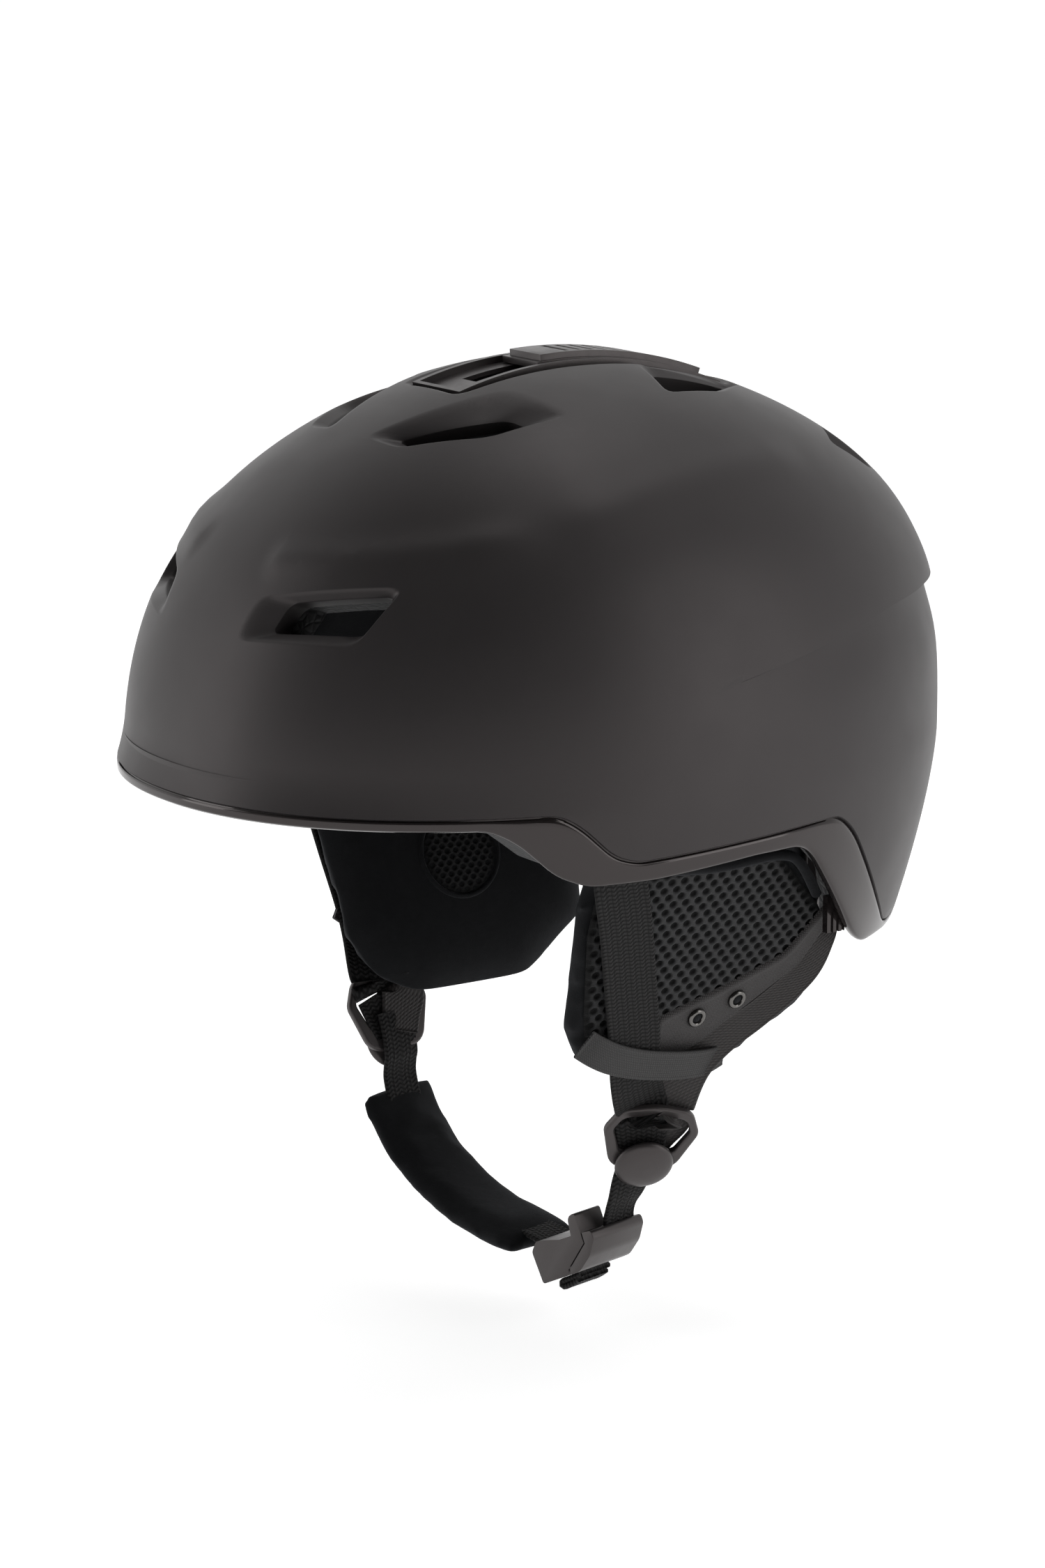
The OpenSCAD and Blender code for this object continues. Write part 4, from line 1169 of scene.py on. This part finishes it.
LEFT_ACROSS = [[0.53, 0.84, -0.12], [0.53, 0.84, -0.12], [0.36, 0.93, 0], [0.15, 1, 0], [0, 1, 0],
               [0, 1, 0], [0, 1, 0]]
TAIL_PATH = [[1.4, -15.2, 0], [-3.5, -15.7, 0], [-7.6, -16.0, 0], [-8.9, -16.9, 0], [-7.8, -17.9, 0],
             [-4, -17.6, 0], [-0.4, -16.8, 0]]


def make_divider(tag, matrix, body):
    plate("divider_plate_" + tag, [rounded(DIVIDER_OUTLINE), rounded(DIVIDER_WINDOW)], 0, 2.6, 0.8,
          matrix, "satin_plastic", body, replaced=["divider_" + tag])
    lathe("divider_disc_" + tag, CAP_PROFILE, matrix @ shifted(0, -10.8, 2.55), "satin_plastic", body,
          replaced=["divider_cap_" + tag], sharp=50)


def chin_sleeve():
    """Fleece sleeve on the chin webbing: a long flat pillow with rounded ends."""
    line = catmull(RIGHT_PATH[2:], 281)[0][6:262:3]
    ahead = unit(np.gradient(line, axis=0))
    across = np.array([0.0, 1.0, 0.0])
    sides = 28
    turn = np.linspace(0, 2 * math.pi, sides, endpoint=False)
    c, s = np.cos(turn), np.sin(turn)
    rings = []
    for k, (p, d) in enumerate(zip(line, ahead)):
        end = min(1, min(k, len(line) - 1 - k) / 3.0)
        wide = 17.0 * (0.9 + 0.1 * end) * np.sign(c) * np.abs(c) ** 0.6
        tall = 4.0 * (0.35 + 0.65 * math.sqrt(end)) * np.sign(s) * np.abs(s) ** 0.7
        rings.append(p + np.outer(wide, across) + np.outer(tall - 2.0, np.cross(d, across)))
    faces = grid_faces(len(rings), sides, True)
    faces += [tuple(range(sides)), tuple((len(rings) - 1) * sides + i for i in reversed(range(sides)))]
    return new_mesh("chin_sleeve", transform(LOOP, np.concatenate(rings)), faces)


divider_left = divider_frame((58.9, 0.8, -121.4), -7.4, 27, -36, 1)
divider_right = divider_frame((-59.5, 0, -103), 0, -22, -10, -1)
for side, matrix in ((1, divider_left), (-1, divider_right)):
    make_ear(side)
    make_straps(side, matrix)
make_divider("left", divider_left, "chin_left")
make_divider("right", divider_right, "chin_right")
loop_turn = np.array(LOOP)[:3, :3]
webbing("chin_webbing_right", transform(LOOP, [[-57.5, 0, -104], [-55.5, 0, -110]] + RIGHT_PATH),
        [loop_turn[:, 1]] * 13, 15, 1.6, "webbing", "chin_right", rib=1.5, replaced=["chin_strap_right"])
webbing("chin_webbing_left", transform(LOOP, LEFT_PATH), np.array(LEFT_ACROSS) @ loop_turn.T, 14, 1.6,
        "webbing", "chin_left", rib=1.4, replaced=["chin_strap_left"])
webbing("buckle_tail", transform(BUCKLE, TAIL_PATH), [np.array(BUCKLE)[:3, 2]] * 7, 15, 1.8, "webbing",
        "chin_right", rib=1.5, replaced=["strap_tail"])
CLIP = shifted(0, 144.6, -15) @ turned("X", -14) @ turned("X", 90)
webbing("goggle_webbing", transform(CLIP, [[0, 0, -0.7], [0, -20, -0.7], [0, -34, -0.7], [0, -40, -0.7]]),
        [[1, 0, 0]] * 4, [18, 18, 17.5, 14], 1.8, "woven_nylon", "goggle_clip",
        replaced=["goggle_clip_strap"])
inflate("chin_cushion", chin_sleeve(), "chin_right", ["chin_pad"], voxel=2.6, shrink=0.7, cap=1.4)
for node in ("brow_pad", "side_pad_left", "side_pad_right", "rear_pad", "crown_pad"):
    inflate_node(node, voxel=4.0, shrink=0.8, cap=1.6)
for node in ("ear_tab_left", "ear_tab_right"):
    inflate_node(node, voxel=2.0, shrink=0.5, cap=0.8)
inflate_node("nape_pad", "fit_cradle", voxel=2.6, shrink=0.8, cap=1.4)

soften("buckle_base", "chin_left", 0.7)
soften("buckle_tongue", "chin_right", 0.7)
soften("vent_slider", "vent_control", 0.5)

# the other CAD pieces are satin plastic
CAD_LOOKS = {
    "foam_liner": "foam", "vent_mesh": "net", "strap_clips": "trim_gloss", "ear_snaps": "black_metal",
    "goggle_clip_snap": "black_metal", "buckle_magnets": "magnet_steel",
}
for name, node in NODES.items():
    mesh = node.data
    mesh.materials.clear()
    mesh.materials.append(MATERIALS[CAD_LOOKS.get(name, "satin_plastic")])
    mesh.shade_smooth()
    mesh.set_sharp_from_angle(angle=math.radians(32))


# ---- Camera, floor and light ----


def aim(obj, place):
    """Puts a light or the camera at a place, turned towards the origin."""
    turn = (-Vector(place)).to_track_quat("-Z", "Y").to_matrix().to_4x4()
    obj.matrix_world = Matrix.Translation(place) @ turn


def softbox(name, place, size, power):
    data = bpy.data.lights.new(name, "AREA")
    data.shape = "RECTANGLE"
    data.size, data.size_y = size
    data.energy = power
    aim(add(name, data), place)


CAMERA_TURN, CAMERA_LIFT, CAMERA_FAR = math.radians(56), math.radians(12.5), 1.4
look = Vector((math.cos(CAMERA_LIFT) * math.sin(CAMERA_TURN),
               -math.cos(CAMERA_LIFT) * math.cos(CAMERA_TURN), math.sin(CAMERA_LIFT)))
camera_data = bpy.data.cameras.new("camera")
camera_data.sensor_fit = "VERTICAL"
camera_data.sensor_height = 36
camera_data.lens = 99.2
camera_data.shift_y = -0.0302
camera_data.clip_end = 200
camera = add("camera", camera_data)
aim(camera, look * CAMERA_FAR)
bpy.context.scene.camera = camera

FLOOR_Z, FLOOR_HALF = cad_box[0][2] - 0.012, 60
corners = [(x * FLOOR_HALF, y * FLOOR_HALF, FLOOR_Z) for x, y in ((-1, -1), (1, -1), (1, 1), (-1, 1))]
floor = add("floor", new_mesh("floor", corners, [(0, 1, 2, 3)], 1))
floor_graph = Graph("floor_paint", (0.93, 0.93, 0.93), 0.9, 0.1)
floor_graph.shader.inputs["Emission Color"].default_value = (1, 1, 1, 1)
floor_graph.shader.inputs["Emission Strength"].default_value = 0.62
floor.data.materials.append(floor_graph.material)

world = bpy.data.worlds.new("world")
bpy.context.scene.world = world
world.use_nodes = True
sky = world.node_tree.nodes
heading = sky.new("ShaderNodeVectorMath")
heading.operation = "DOT_PRODUCT"
heading.inputs[1].default_value = (0.64, -0.43, 0.64)
world.node_tree.links.new(sky.new("ShaderNodeTexCoord").outputs["Generated"], heading.inputs[0])
dimming = sky.new("ShaderNodeMapRange")
for socket, value in enumerate((-0.15, 0.80, 1.0, 0.05), 1):
    dimming.inputs[socket].default_value = value
world.node_tree.links.new(heading.outputs["Value"], dimming.inputs[0])
world.node_tree.links.new(dimming.outputs[0], sky["Background"].inputs[0])
sky["Background"].inputs[1].default_value = 1.0
bpy.context.scene.view_settings.view_transform = "Standard"

softbox("side_left", (-0.9, -1.5, 0.4), (0.7, 1.6), 7)
softbox("side_right", (1.3, 0.9, 0.4), (0.7, 1.6), 8)
softbox("top", (0.0, 0.5, 1.6), (1.2, 0.6), 5)
